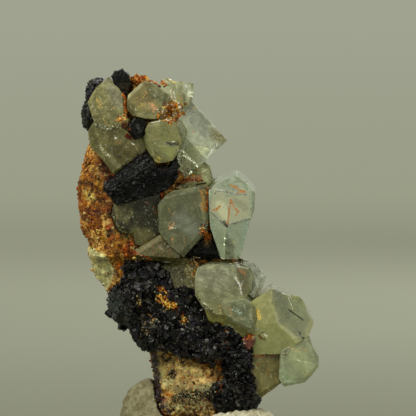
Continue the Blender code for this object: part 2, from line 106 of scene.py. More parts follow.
def make_beryl(name, clear, roughness, absorbed, density, etch):
    """Beryl: natural crystal faces, clear inside but hazy with veils, finely etched.

    The eye gets a pale body that lets light through, streaks and clouds of haze, white
    flecks and healed cracks, and a soft shine on the faces. The points hold the body
    colour, with how mottled it is, the stains, and the streaks' direction.
    """
    material, tree, shader, place, tint = start_material(name, IOR=1.577)
    body = add_node(tree, "ShaderNodeAttribute", {"attribute_name": "body"})
    flow = add_node(tree, "ShaderNodeAttribute", {"attribute_name": "flow"}).outputs["Vector"]
    mottle = body.outputs["Alpha"]
    cloud = add_node(tree, "ShaderNodeTexNoise", None, {
        "Vector": place, "Scale": 1.0 / (2.4 * MM), "Detail": 5.0, "Roughness": 0.65, "Distortion": 0.5,
    }).outputs["Fac"]
    streak = add_node(tree, "ShaderNodeTexNoise", None, {
        "Vector": flow, "Scale": 1.0 / (0.5 * MM), "Detail": 3.0, "Roughness": 0.6,
    }).outputs["Fac"]
    pits = add_node(tree, "ShaderNodeTexNoise", None, {
        "Vector": place, "Scale": 1.0 / (0.55 * MM), "Detail": 4.0, "Roughness": 0.7,
    }).outputs["Fac"]
    both = add_node(tree, "ShaderNodeMix", {"data_type": "FLOAT"}, {0: 0.45, 2: cloud, 3: streak}).outputs[0]
    shade = add_node(tree, "ShaderNodeMapRange", {"interpolation_type": "SMOOTHSTEP"}, {
        "Value": both, "From Min": 0.36, "From Max": 0.64, "To Min": 0.5, "To Max": 1.5,
    }).outputs["Result"]
    shade = add_node(tree, "ShaderNodeMix", {"data_type": "FLOAT"}, {0: mottle, 2: 1.0, 3: shade}).outputs[0]
    colour = add_node(tree, "ShaderNodeMix", {"data_type": "RGBA", "blend_type": "MULTIPLY"},
                      {0: 1.0, 6: body.outputs["Color"], 7: shade}).outputs[2]
    # Pale flecks where the fine pits are high: partly white specks in the crystal, partly painted sparkle
    fleck = add_node(tree, "ShaderNodeMapRange", {"interpolation_type": "SMOOTHSTEP"}, {
        "Value": pits, "From Min": 0.58, "From Max": 0.68, "To Min": 0.0, "To Max": 1.0,
    }).outputs["Result"]
    fleck = add_node(tree, "ShaderNodeMath", {"operation": "MULTIPLY"}, {0: fleck, 1: mottle}).outputs[0]
    crack = add_node(tree, "ShaderNodeTexNoise", None, {
        "Vector": place, "Scale": 1.0 / (5.5 * MM), "Detail": 2.0, "Distortion": 0.8,
    }).outputs["Fac"]
    crack = add_node(tree, "ShaderNodeMath", {"operation": "SUBTRACT"}, {0: crack, 1: 0.5}).outputs[0]
    crack = add_node(tree, "ShaderNodeMath", {"operation": "ABSOLUTE"}, {0: crack}).outputs[0]
    crack = add_node(tree, "ShaderNodeMapRange", {"interpolation_type": "SMOOTHSTEP"}, {
        "Value": crack, "From Min": 0.0, "From Max": 0.009, "To Min": 0.32, "To Max": 0.0,
    }).outputs["Result"]
    crack = add_node(tree, "ShaderNodeMath", {"operation": "MULTIPLY"}, {0: crack, 1: cloud}).outputs[0]
    pale = add_node(tree, "ShaderNodeMath", {"operation": "MAXIMUM"}, {0: fleck, 1: crack}).outputs[0]
    colour = add_node(tree, "ShaderNodeMix", {"data_type": "RGBA"},
                      {0: pale, 6: colour, 7: linear("#E4E4CC")}).outputs[2]
    grit = add_node(tree, "ShaderNodeTexNoise", None, {
        "Vector": place, "Scale": 1.0 / (0.3 * MM), "Detail": 2.0, "Roughness": 0.6,
    }).outputs["Fac"]
    grit = add_node(tree, "ShaderNodeMapRange", None, {
        "Value": grit, "From Min": 0.36, "From Max": 0.64, "To Min": 0.0, "To Max": 1.0,
    }).outputs["Result"]
    stain = add_node(tree, "ShaderNodeMath", {"operation": "SUBTRACT"}, {0: tint.outputs["Alpha"], 1: grit})
    stain = add_node(tree, "ShaderNodeMath", {"operation": "MULTIPLY", "use_clamp": True},
                     {0: stain.outputs[0], 1: 4.0}).outputs[0]
    colour = add_node(tree, "ShaderNodeMix", {"data_type": "RGBA"},
                      {0: stain, 6: colour, 7: tint.outputs["Color"]}).outputs[2]
    tree.links.new(colour, shader.inputs["Base Color"])
    veil = add_node(tree, "ShaderNodeMapRange", {"interpolation_type": "SMOOTHSTEP"}, {
        "Value": cloud, "From Min": 0.4, "From Max": 0.66, "To Min": clear, "To Max": clear * 0.7,
    }).outputs["Result"]
    veil = add_node(tree, "ShaderNodeMath", {"operation": "SUBTRACT"}, {0: veil, 1: pale}).outputs[0]
    see = add_node(tree, "ShaderNodeMath", {"operation": "SUBTRACT", "use_clamp": True}, {0: veil, 1: stain})
    tree.links.new(see.outputs[0], shader.inputs["Transmission Weight"])
    frost = add_node(tree, "ShaderNodeMapRange", {"interpolation_type": "SMOOTHSTEP"}, {
        "Value": both, "From Min": 0.35, "From Max": 0.65,
        "To Min": roughness * 0.7, "To Max": roughness * 1.6,
    }).outputs["Result"]
    frost = add_node(tree, "ShaderNodeMath", {"operation": "MULTIPLY_ADD"}, {0: stain, 1: 0.35, 2: frost}).outputs[0]
    tree.links.new(frost, shader.inputs["Roughness"])
    height = add_node(tree, "ShaderNodeMath", {"operation": "ADD"}, {0: pits, 1: streak}).outputs[0]
    bump = add_node(tree, "ShaderNodeBump", None, {"Strength": etch, "Distance": 0.0001, "Height": height})
    tree.links.new(bump.outputs["Normal"], shader.inputs["Normal"])
    inside = add_node(tree, "ShaderNodeVolumeAbsorption", None,
                      {"Color": linear(absorbed), "Density": density})
    tree.links.new(inside.outputs[0], tree.nodes["Material Output"].inputs["Volume"])
    return material


def make_mineral(name, ramp, cell_mm, patch_mm, roughness, specular, relief, sparkle=0.0):
    """An opaque mineral whose grains differ in colour and shine.

    The ramp multiplies the colour that the points hold, from the darkest grains and
    patches to the lightest.
    """
    material, tree, shader, place, tint = start_material(name, Specular_IOR_Level=specular)
    cells = add_node(tree, "ShaderNodeTexVoronoi", {"feature": "F1"},
                     {"Vector": place, "Scale": 1.0 / (cell_mm * MM), "Randomness": 1.0})
    lot = add_node(tree, "ShaderNodeSeparateColor", None, {"Color": cells.outputs["Color"]}).outputs[0]
    patch = add_node(tree, "ShaderNodeTexNoise", None, {
        "Vector": place, "Scale": 1.0 / (patch_mm * MM), "Detail": 5.0, "Roughness": 0.7,
    }).outputs["Fac"]
    lot = add_node(tree, "ShaderNodeMath", {"operation": "MULTIPLY_ADD"}, {0: lot, 1: 0.3, 2: -0.15}).outputs[0]
    lot = add_node(tree, "ShaderNodeMath", {"operation": "ADD"}, {0: lot, 1: patch}).outputs[0]
    colours = add_node(tree, "ShaderNodeValToRGB", None, {"Fac": lot})
    stops = colours.color_ramp.elements
    while len(stops) < len(ramp):
        stops.new(0.5)
    for stop, (position, code) in zip(stops, ramp):
        stop.position = position
        stop.color = linear(code)
    strong = add_node(tree, "ShaderNodeMix", {"data_type": "RGBA", "blend_type": "MULTIPLY"}, {
        0: 1.0, 6: tint.outputs["Color"], 7: colours.outputs["Color"],
    }).outputs[2]
    body = add_node(tree, "ShaderNodeMix", {"data_type": "RGBA"}, {
        0: tint.outputs["Alpha"], 6: strong, 7: tint.outputs["Color"],
    }).outputs[2]
    tree.links.new(body, shader.inputs["Base Color"])
    shine = add_node(tree, "ShaderNodeMapRange", {"interpolation_type": "SMOOTHSTEP"}, {
        "Value": lot, "From Min": 0.35, "From Max": 0.65,
        "To Min": roughness, "To Max": roughness * (1.0 - sparkle),
    }).outputs["Result"]
    tree.links.new(shine, shader.inputs["Roughness"])
    fine = add_node(tree, "ShaderNodeTexNoise", None, {
        "Vector": place, "Scale": 1.0 / (0.35 * MM), "Detail": 4.0, "Roughness": 0.7,
    }).outputs["Fac"]
    height = add_node(tree, "ShaderNodeMath", {"operation": "ADD"}, {0: cells.outputs["Distance"], 1: fine})
    bump = add_node(tree, "ShaderNodeBump", None,
                    {"Strength": relief, "Distance": 0.00015, "Height": height.outputs[0]})
    tree.links.new(bump.outputs["Normal"], shader.inputs["Normal"])
    return material


SUGARY = ((0.28, "#3E2812"), (0.38, "#A07244"), (0.47, "#E0BE90"), (0.56, "#FCF0D8"), (0.66, "#FFFFFF"))
SPARKLING = ((0.3, "#404040"), (0.5, "#909090"), (0.62, "#FFFFFF"))
MATT = ((0.3, "#BEB8A8"), (0.7, "#FFFFFF"))

FINISHES = {
    "etched": make_beryl("beryl, etched by nature", 0.6, 0.16, "#C8DCA0", 30.0, 0.5),
    "glassy": make_beryl("beryl, glassy", 0.74, 0.06, "#D4E6C8", 8.0, 0.15),
    "stained": make_beryl("beryl, iron stained", 0.4, 0.22, "#C8B070", 40.0, 0.6),
    "tourmaline": make_mineral("tourmaline, black", SPARKLING, 0.9, 1.5, 0.36, 0.2, 0.6, sparkle=0.5),
    "crust": make_mineral("tourmaline, fine crust", SPARKLING, 0.5, 1.2, 0.34, 0.35, 0.5, sparkle=0.5),
    "fluorite": make_mineral("fluorite crust, purple", SPARKLING, 0.5, 1.2, 0.4, 0.4, 0.6, sparkle=0.5),
    "feldspar": make_mineral("feldspar, iron stained", SUGARY, 0.4, 1.3, 0.7, 0.35, 0.8, sparkle=0.3),
    "putty": make_mineral("modelling putty, matt", MATT, 0.8, 2.4, 0.8, 0.3, 0.5),
}

# Colours of stains, as they look in the soft light
PALETTE = {
    "rust": "#6A3410", "orange": "#A0601C", "ochre": "#94763A", "gold": "#B09040",
    "cream": "#C4BC98", "white": "#D6D8BE", "ink": "#10110D", "slate": "#4C5450",
    "brown": "#4A3418", "olive": "#66623C", "pink": "#A06E4A", "blue": "#84948C",
    "haze": "#A5A78E", "wine": "#3C1206", "purple": "#2A2228", "lilac": "#7C7480",
    "tan": "#9A8450", "sand": "#A48A52", "moss": "#7E7C50", "soot": "#1C1B17",
}


# Meshes

def copy_solid(node):
    """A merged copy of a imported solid, in millimetres, with its flat faces whole again."""
    bm = bmesh.new()
    bm.from_mesh(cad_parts[node].data)
    bmesh.ops.scale(bm, vec=(1.0 / MM,) * 3, verts=bm.verts)
    bmesh.ops.remove_doubles(bm, verts=bm.verts, dist=0.02)
    bmesh.ops.dissolve_degenerate(bm, edges=bm.edges, dist=0.02)
    bmesh.ops.dissolve_limit(bm, angle_limit=math.radians(1.0), verts=bm.verts, edges=bm.edges)
    return bm


def soften_edges(bm, width):
    """Round the crystal's edges a little, and return a tree of points along them."""
    sharp = [e for e in bm.edges if e.is_manifold and e.calc_face_angle() > math.radians(14)
             and e.calc_length() > 3.0 * width]
    marks = []
    for edge in sharp:
        start, end = (corner.co.copy() for corner in edge.verts)
        steps = max(1, int((end - start).length / (0.5 * EDGE_REACH)))
        marks += [start.lerp(end, i / steps) for i in range(steps + 1)]
    ridge = kdtree.KDTree(len(marks))
    for i, mark in enumerate(marks):
        ridge.insert(mark, i)
    ridge.balance()
    bmesh.ops.bevel(bm, geom=sharp, offset=width, offset_type="OFFSET", affect="EDGES", segments=2,
                    profile=0.5, material=-1, clamp_overlap=True)
    return ridge


def refine(bm, longest, fine_lines=(), rounds=9):
    """Split long edges; they stay longer on the far side, and are shorter along fine lines."""
    bmesh.ops.triangulate(bm, faces=bm.faces)
    edges = list(bm.edges)
    for _ in range(rounds):
        bm.normal_update()
        ends = np.array([(*e.verts[0].co, *e.verts[1].co) for e in edges])
        far = np.array([all(face.normal.y > FAR_SIDE for face in e.link_faces) for e in edges])
        limit = np.where(far, 2.2 * longest, longest)
        for _, _, width, line in fine_lines:
            near = (gap_to_line((ends[:, :3] + ends[:, 3:]) / 2.0, line) < width + 0.2) & ~far
            limit[near] = FINE_MESH
        too_long = np.linalg.norm(ends[:, :3] - ends[:, 3:], axis=1) > limit
        if not too_long.any():
            break
        halved = bmesh.ops.subdivide_edges(bm, edges=[edges[i] for i in np.flatnonzero(too_long)], cuts=1,
                                           use_grid_fill=True)["geom"]
        split = bmesh.ops.triangulate(bm, faces=[face for face in bm.faces if len(face.verts) > 3])["edges"]
        edges = list({item for item in halved if isinstance(item, bmesh.types.BMEdge)} | set(split))


def displace(bm, relief):
    """Move each point along its normal by what relief says, in millimetres."""
    bm.normal_update()
    moves = [(corner, corner.normal * relief(corner.co, corner.normal)) for corner in bm.verts]
    for corner, move in moves:
        corner.co += move


def wave(place, size, lift=0.0):
    return noise.noise(Vector((place.x / size + lift, place.y / size - lift, place.z / size + 2.0 * lift)))


def gap_to_line(points, line):
    """How far points are from a line of picture spots, as seen from the front.

    A line that ends where it starts is an outline, and the points inside are at 0.
    """
    spots = np.array([on_front(spot) for spot in line])
    x, z = points[:, 0], points[:, 2]
    nearest = np.hypot(x - spots[0][0], z - spots[0][1])
    inside = np.zeros(len(points), dtype=bool)
    for (x1, z1), (x2, z2) in zip(spots, spots[1:]):
        dx, dz = x2 - x1, z2 - z1
        share = np.clip(((x - x1) * dx + (z - z1) * dz) / (dx * dx + dz * dz), 0.0, 1.0)
        nearest = np.minimum(nearest, np.hypot(x - x1 - share * dx, z - z1 - share * dz))
        crosses = (z1 > z) != (z2 > z)
        inside ^= crosses & (x < x1 + (z - z1) * dx / (dz if dz else 1.0))
    closed = len(spots) > 3 and line[0] == line[-1]
    return np.where(inside, 0.0, nearest) if closed else nearest


def wobble_points(points):
    """The points with their x and z shifted a little, so that marks get natural outlines."""
    shifted = points.copy()
    for i, point in enumerate(points):
        place = Vector(point)
        shifted[i, 0] += 0.16 * wave(place, 0.7) + 0.22 * wave(place, 1.9, 5.0)
        shifted[i, 2] += 0.16 * wave(place, 0.7, 9.0) + 0.22 * wave(place, 1.9, 14.0)
    return shifted


def lay_marks(values, shifted, facing, marks, gain, crisp, keeps_alpha):
    """Blend marks over point colours.

    Each mark has a colour, a strength, a width in millimetres and a line of spots. A crisp
    mark has a firm outline; another one fades from its line outwards.
    """
    for code, strength, width, line in marks:
        colour = np.minimum(np.array(linear(PALETTE.get(code, code))[:3]) * gain, 0.95)
        share = 1.0 - gap_to_line(shifted, line) / width
        share = np.clip(share * 2.5, 0.0, 1.0) if crisp else np.clip(1.0 - (1.0 - share) ** 2, 0.0, 1.0)
        cover = np.where(facing & (share > 0.0), share * strength, 0.0)[:, None]
        if keeps_alpha:
            values[:, :3] += cover * (colour - values[:, :3])
        else:
            total = cover + values[:, 3:] * (1.0 - cover)
            mixed = colour * cover + values[:, :3] * values[:, 3:] * (1.0 - cover)
            values[:, :3] = np.where(total > 0.0, mixed / np.maximum(total, 1e-6), values[:, :3])
            values[:, 3:] = total


def lay_values(mesh, name, values, kind="FLOAT_COLOR"):
    layer = mesh.attributes.new(name, kind, "POINT")
    layer.data.foreach_set("color" if kind == "FLOAT_COLOR" else "vector",
                           values.astype(np.float32).ravel())


SURFACES = {}


def add_piece(name, mesh, finish, nodes=()):
    """Make a piece that rides with the stone."""
    mesh.materials.append(FINISHES[finish])
    piece = bpy.data.objects.new(name, mesh)
    bpy.context.scene.collection.objects.link(piece)
    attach(piece, "root")
    if nodes:
        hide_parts(*nodes)
    return piece


def finish_mesh(name, bm, sharp_angle=24.0):
    """Turn a bmesh in millimetres into a mesh, and return it with its points and normals."""
    bm.normal_update()
    for edge in bm.edges:
        edge.smooth = len(edge.link_faces) == 2 and edge.calc_face_angle(0.0) < math.radians(sharp_angle)
    for face in bm.faces:
        face.smooth = True
    points = np.array([corner.co for corner in bm.verts])
    normals = np.array([corner.normal for corner in bm.verts])
    bm.verts.index_update()
    corners = np.array([[corner.index for corner in face.verts] for face in bm.faces])
    SURFACES[name] = (points, normals, corners)
    bmesh.ops.scale(bm, vec=(MM,) * 3, verts=bm.verts)
    mesh = bpy.data.meshes.new(name)
    bm.to_mesh(mesh)
    bm.free()
    return mesh, points, normals


# Crystals: flat faces with slight growth steps, worn edges with a painted edge highlight, and painted inclusions

def etched_relief(amount, ridge):
    def relief(place, normal):
        steps = math.floor(4.0 * wave(place, 3.4)) * 0.35
        gap = ridge.find(place)[2]
        chip = max(0.0, 1.0 - gap / (2.0 * EDGE_REACH)) * max(0.0, wave(place, 1.1, 3.0)) * 0.22
        return CLOSE_GAP - chip + amount * (wave(place, 1.6) + 0.5 * wave(place, 0.7, 4.0) + steps)
    return relief


def streak_place(points, degrees):
    """The points in metres, turned so that x runs across the streaks and shrunk along them."""
    turn = math.radians(degrees)
    along = points[:, 0] * math.cos(turn) + points[:, 2] * math.sin(turn)
    across = points[:, 2] * math.cos(turn) - points[:, 0] * math.sin(turn)
    return np.stack([across, points[:, 1], along / 7.0], axis=1) * MM


CRYSTALS = {
    "upper_left_crystals": dict(
        finish="etched", own="#716D44", mottle=0.5, relief=0.06, streaks=60,
        changes=[
            ("#787562", 0.8, 3.0, [(112, 84), (121, 98)]),
            ("#84825F", 0.7, 1.2, [(106, 84), (113, 78), (124, 96)]),
            ("#5B5430", 0.9, 5.0, [(112, 138), (128, 152)]),
            ("#45411C", 0.9, 4.0, [(118, 158), (128, 166)]),
            ("#6E6A42", 0.7, 2.4, [(96, 128), (100, 140)]),
            ("#8E8B62", 0.6, 0.9, [(110, 154), (117, 164), (125, 168)]),
        ],
        stains=[
            ("ochre", 0.5, 0.7, [(98, 98), (101, 106)]),
            ("rust", 0.6, 0.3, [(115, 139), (122, 143)]),
            ("orange", 0.5, 0.35, [(107, 91)]),
            ("orange", 0.45, 0.3, [(113, 105), (115, 107)]),
            ("ochre", 0.4, 0.5, [(119, 111), (121, 120), (117, 126)]),
            ("ochre", 0.35, 0.4, [(104, 119), (109, 123)]),
            ("haze", 0.4, 0.5, [(100, 144), (106, 152), (112, 156)]),
            ("olive", 0.5, 0.5, [(131, 140), (137, 148)]),
        ],
        fine=[
            ("ink", 1.0, 0.36, [(119, 155.5), (121, 155.5)]),
            ("slate", 0.9, 0.25, [(112, 147), (113, 147)]),
            # The two white specks are painted glints
            ("white", 0.9, 0.25, [(115, 137), (116.5, 137)]),
            ("white", 0.8, 0.22, [(132, 142), (134, 143)]),
        ]),
    "top_crystal": dict(
        finish="etched", own="#6D643C", mottle=0.4, relief=0.04, streaks=25,
        changes=[
            ("#A09A74", 0.95, 0.8, [(129, 95), (141, 82)]),
            ("#66623C", 0.8, 1.8, [(128, 102), (130, 112)]),
            ("#83754A", 0.8, 2.0, [(137, 98), (148, 104)]),
            ("#686748", 0.95, 2.4, [(156, 88), (163, 98)]),
            ("#8E7C58", 0.6, 1.4, [(150, 104), (156, 110)]),
            ("#82805A", 0.7, 1.2, [(140, 114), (152, 114)]),
        ],
        stains=[
            ("orange", 0.9, 0.3, [(147, 91)]),
            ("orange", 0.9, 0.25, [(145, 94.5)]),
            ("gold", 0.4, 0.25, [(135, 101), (146, 103)]),
            ("gold", 0.35, 0.22, [(137, 106), (150, 103)]),
            ("gold", 0.35, 0.22, [(136, 97), (141, 95), (148, 97)]),
            ("pink", 0.55, 0.6, [(151, 102), (155, 107)]),
            ("pink", 0.4, 0.4, [(153, 110), (157, 106)]),
            ("cream", 0.35, 0.25, [(133, 104), (137, 110)]),
            ("white", 0.35, 0.2, [(149, 86), (158, 99)]),
        ]),
    "round_crystal": dict(
        finish="etched", own="#75734D", mottle=0.18, relief=0.015, streaks=5,
        changes=[
            ("#7E7E58", 0.7, 2.0, [(158, 147), (170, 149)]),
            ("#5C5B38", 0.8, 0.8, [(175, 119), (180, 126), (181, 136), (179, 144)]),
            ("#8D8C66", 0.6, 0.6, [(147, 137), (156, 159)]),
            ("#6A6940", 0.7, 1.4, [(164, 136), (174, 137)]),
        ],
        stains=[
            ("slate", 0.6, 0.6, [(165, 142), (176, 143)]),
            ("brown", 0.5, 0.3, [(153, 143)]),
            ("gold", 0.8, 0.4, [(158, 156), (160, 157)]),
            ("gold", 0.6, 0.35, [(155, 158), (164, 163)]),
            ("orange", 0.6, 0.3, [(152, 135)]),
            ("cream", 0.6, 0.4, [(152, 120), (162, 117.5)]),
            ("orange", 0.4, 0.3, [(154, 118), (157, 117)]),
            ("slate", 0.6, 0.3, [(166, 154), (168, 155)]),
        ],
        fine=[
            ("ink", 0.95, 0.3, [(167, 141), (172, 142.5), (179, 142)]),
            ("ink", 0.7, 0.25, [(170, 144), (177, 140)]),
            ("white", 1.0, 0.2, [(173, 140), (175, 140)]),
            ("brown", 1.0, 0.25, [(155.4, 149), (156.2, 152)]),
            ("olive", 0.7, 0.25, [(178, 133), (180, 138), (181, 143)]),
        ]),
    "large_prism": dict(
        finish="glassy", own="#E2E8CE", mottle=0.18, relief=0.01, streaks=39,
        changes=[
            ("#A89C6C", 0.8, 1.6, [(213, 133), (224, 140)]),
            ("#C4C8A0", 0.5, 2.0, [(184, 160), (192, 150)]),
            ("#EDF0E2", 0.8, 2.4, [(190, 116), (203, 132)]),
        ],
        stains=[
            ("orange", 0.6, 0.35, [(193, 132), (194.4, 133)]),
            ("ochre", 0.5, 0.4, [(194, 107), (196, 109)]),
            ("rust", 0.6, 0.3, [(217.5, 141)]),
            ("gold", 0.6, 0.3, [(219, 133.5)]),
            ("olive", 0.5, 0.4, [(210, 130), (219, 138), (226, 139)]),
            ("olive", 0.35, 0.3, [(212, 145), (224, 138)]),
            ("#9A9C76", 0.6, 0.6, [(186, 150), (197, 147), (207, 148), (193, 166), (179, 181), (180, 165),
                                   (186, 150)]),
        ],
        fine=[
            # The white line is a painted highlight along the end face's edge
            ("white", 0.6, 0.22, [(208, 155), (213, 149), (219, 143)]),
            ("slate", 0.45, 0.22, [(199.5, 126), (207.5, 141)]),
            ("slate", 0.4, 0.22, [(184, 153), (187, 144)]),
        ]),
    "glassy_columns": dict(
        finish="glassy", own="#DCDCB4", mottle=0.5, relief=0.05, streaks=86,
        changes=[
            ("#E8ECD8", 0.9, 1.2, [(186, 86), (192, 97)]),
            ("#C8BC78", 0.8, 0.8, [(179, 96), (183, 105)]),
        ],
        stains=[
            ("orange", 0.6, 0.5, [(158, 83), (164, 81)]),
            ("gold", 0.5, 0.4, [(169, 79), (175, 83)]),
            ("white", 0.6, 0.2, [(170, 89), (172, 102)]),
            ("white", 0.6, 0.2, [(174, 90), (176, 103)]),
            ("white", 0.5, 0.2, [(167, 90), (168, 100)]),
            ("ochre", 0.45, 0.25, [(172, 88), (173.5, 101)]),
            ("ochre", 0.5, 0.5, [(180, 96), (182, 104)]),
            ("white", 0.7, 0.25, [(185, 85), (187, 87)]),
            ("white", 0.7, 0.25, [(189, 90), (190, 93)]),
            ("slate", 0.4, 0.2, [(184, 92), (188, 99)]),
        ]),
    "middle_crystal": dict(
        finish="etched", own="#5C5D44", mottle=0.2, relief=0.015, streaks=12,
        changes=[
            ("#707466", 0.9, 3.0, [(182, 218), (192, 226)]),
            ("#7C7A58", 0.9, 1.1, [(203, 190), (204, 214)]),
            ("#5A5C40", 0.8, 1.6, [(166, 200), (166, 226)]),
            ("#7D7E60", 0.6, 0.5, [(171, 190), (196, 185)]),
            ("#747662", 0.7, 1.2, [(184, 206), (186, 226)]),
        ],
        stains=[
            ("pink", 0.7, 0.35, [(169, 221), (171, 227), (174, 221)]),
            ("cream", 0.7, 0.3, [(172, 226), (175, 226)]),
            ("orange", 0.4, 0.3, [(168, 206), (172, 212)]),
            ("orange", 0.35, 0.25, [(173, 211), (176, 215)]),
            ("orange", 0.5, 0.5, [(201, 189), (203, 200), (202, 207)]),
            ("ochre", 0.4, 0.8, [(204, 190), (204, 209)]),
            ("orange", 0.35, 0.3, [(184, 236), (185, 244)]),
            ("orange", 0.35, 0.25, [(173, 236), (174, 242)]),
        ],
        fine=[
            ("ink", 1.0, 0.3, [(201.5, 223.5), (202, 223)]),
            ("ink", 1.0, 0.28, [(204.5, 223.5), (205, 223)]),
        ]),
    "standing_prism": dict(
        finish="glassy", own="#CFDAC2", mottle=0.15, relief=0.012, streaks=84,
        changes=[
            ("#F0F0E0", 1.0, 0.5, [(216, 186), (247, 193), (249, 216), (225, 223), (211, 209), (216, 186)]),
            ("#C8DCD0", 0.9, 1.2, [(246, 218), (243, 255)]),
            ("#BCC8A4", 0.6, 1.6, [(222, 232), (226, 256)]),
        ],
        stains=[
            ("#6E6F57", 0.9, 0.5, [(216, 186), (247, 193), (249, 216), (225, 223), (211, 209), (216, 186)]),
            ("#8C8C70", 0.7, 1.4, [(220, 203), (226, 214)]),
            ("#565744", 0.6, 1.0, [(236, 199), (245, 206)]),
            ("slate", 0.55, 0.4, [(216, 185), (228, 188.5), (242, 189)]),
            ("slate", 0.4, 0.4, [(226, 194.5), (238, 192.5), (247, 191)]),
            ("blue", 0.45, 0.4, [(247, 221), (244, 240), (242, 256)]),
            ("olive", 0.3, 0.4, [(218, 226), (224, 246)]),
        ],
        fine=[
            ("#7A4A10", 1.0, 0.28, [(230, 183), (237, 187), (245, 190), (238, 190.5)]),
            ("#744410", 1.0, 0.32, [(230.8, 198), (229, 210), (227.5, 222)]),
            ("#7A4C12", 1.0, 0.26, [(231, 199), (234, 205), (238, 209), (236, 213)]),
            ("#7A4C12", 1.0, 0.26, [(212.5, 208), (217, 207), (220, 204.5)]),
            ("slate", 0.8, 0.22, [(216, 189), (229, 191), (246, 193)]),
            ("slate", 0.7, 0.2, [(211, 209.5), (225, 223.5), (238, 219.5), (249, 216.5)]),
            ("ink", 0.95, 0.25, [(226.5, 190.6)]),
            ("ink", 0.9, 0.24, [(215, 192)]),
            ("ink", 0.95, 0.35, [(224, 220), (227, 224)]),
            ("gold", 0.8, 0.25, [(233.5, 240)]),
        ]),
    "ledge_crystal": dict(
        finish="stained", own="#565428", mottle=0.6, relief=0.05, streaks=15,
        changes=[
            ("#7C7E5C", 0.9, 1.6, [(203, 168), (207, 178)]),
            ("#5A4420", 0.7, 1.0, [(182, 180), (196, 177)]),
        ],
        stains=[
            ("rust", 0.75, 0.7, [(179, 181), (190, 178), (200, 177)]),
            ("brown", 0.7, 0.5, [(180, 183), (192, 181)]),
            ("orange", 0.7, 0.35, [(184, 177), (194, 175)]),
            ("rust", 0.7, 0.28, [(197, 168)]),
            ("rust", 0.7, 0.28, [(203, 173)]),
            ("ink", 0.6, 0.3, [(204.5, 163), (207, 167)]),
            ("ink", 0.5, 0.35, [(210.5, 170), (212.5, 182)]),
            ("cream", 0.6, 0.4, [(175, 187), (181, 186)]),
            ("orange", 0.6, 0.35, [(176, 184), (180, 188)]),
        ]),
    "shaded_crystals": dict(
        # The very dark body colour is painted shade, for crystals that sit back in shadow
        finish="etched", own="#2A2710", mottle=0.55, relief=0.05, streaks=40,
        changes=[
            ("#5A5430", 1.0, 0.4, [(115, 203), (124, 199), (133, 208), (128, 221), (118, 217), (115, 203)]),
            ("#56522E", 1.0, 0.4, [(131, 227), (150, 228), (157, 238), (144, 244), (133, 240), (131, 227)]),
            ("#1C1A0A", 0.9, 2.4, [(142, 206), (150, 218)]),
        ],
        stains=[
            ("rust", 0.5, 0.35, [(146, 200), (149, 203)]),
            ("rust", 0.45, 0.35, [(153, 205), (156, 213)]),
            ("haze", 0.6, 0.25, [(156, 219), (159, 222)]),
            ("brown", 0.8, 0.4, [(132, 246), (146, 242), (157, 238)]),
        ]),
    "shelf_crystal": dict(
        finish="stained", own="#3C3718", mottle=0.5, relief=0.04, streaks=70,
        changes=[
            ("#4E4728", 0.8, 1.6, [(146, 250), (158, 246)]),
        ],
        stains=[
            # This dark band over the top left facet is painted shade, which damps the key light's shine there; as a
            # stain it also roughens the facet
            ("#4A4322", 1.0, 0.9, [(137, 251), (148, 243), (161, 236)]),
            ("rust", 0.4, 0.35, [(152, 243), (155, 255)]),
            ("orange", 0.3, 0.3, [(160, 243), (163, 253)]),
            ("rust", 0.35, 0.3, [(169, 243), (171, 255)]),
            ("white", 0.5, 0.22, [(150, 258.5), (158, 261), (170, 260)]),
            ("ink", 0.7, 0.3, [(122, 252)]),
        ]),
    "hazy_crystals": dict(
        finish="etched", own="#7A7B5C", mottle=0.3, relief=0.025, streaks=-20,
        changes=[
            ("#888872", 0.9, 3.4, [(206, 274), (224, 278)]),
            ("#5A5830", 0.9, 1.8, [(243, 272), (244, 288)]),
            ("#687058", 0.8, 2.2, [(238, 304), (248, 318)]),
            ("#7C7A52", 0.8, 1.6, [(212, 302), (222, 310)]),
            ("#969880", 0.7, 1.0, [(222, 266), (232, 272)]),
        ],
        stains=[
            ("brown", 0.8, 0.7, [(238, 269), (244, 270)]),
            ("pink", 0.35, 0.5, [(240, 268), (245, 272)]),
            # The first white line is a painted highlight along the edge between the front face and the right facet
            ("white", 0.8, 0.3, [(235.5, 275), (240, 283), (241, 291)]),
            ("white", 0.6, 0.25, [(240, 283), (243, 279)]),
            ("brown", 0.35, 1.4, [(244, 278), (247, 286)]),
            ("ochre", 0.45, 0.4, [(219, 302), (220, 310)]),
            ("orange", 0.4, 0.3, [(229, 304), (232, 312)]),
            ("orange", 0.7, 0.28, [(239.5, 317)]),
            ("ink", 0.85, 0.25, [(239, 287)]),
            ("blue", 0.45, 0.6, [(234, 306), (240, 311)]),
            ("blue", 0.35, 0.4, [(242, 300), (247, 308)]),
            # The slate line along the top is a painted shadow in the gap above these crystals
            ("slate", 0.5, 0.3, [(199, 262), (212, 258.5), (238, 266)]),
            ("white", 0.4, 0.25, [(249, 329), (255.5, 321)]),
            ("haze", 0.35, 0.8, [(202, 300), (214, 312)]),
        ]),
    "lower_right_crystals": dict(
        finish="etched", own="#828057", mottle=0.18, relief=0.015, streaks=50,
        # The lighter left face and the pale line along the ridge are painted light; the darker faces right of the
        # ridge are painted shade, with the light from the left
        changes=[
            ("#8C895E", 0.8, 3.0, [(256, 300), (266, 318)]),
            ("#565A34", 1.0, 3.2, [(279, 292), (286, 312)]),
            ("#5C603A", 0.9, 2.4, [(288, 318), (298, 330)]),
            ("#686E48", 0.9, 2.4, [(298, 300), (302, 318)]),
            ("#7E7E58", 0.8, 2.4, [(262, 342), (285, 344)]),
            ("#979670", 0.8, 0.45, [(271, 288), (270, 300), (279, 322), (295, 335)]),
            ("#8A8C62", 0.7, 0.5, [(250, 354), (270, 353), (285, 349), (296, 338)]),
        ],
        stains=[
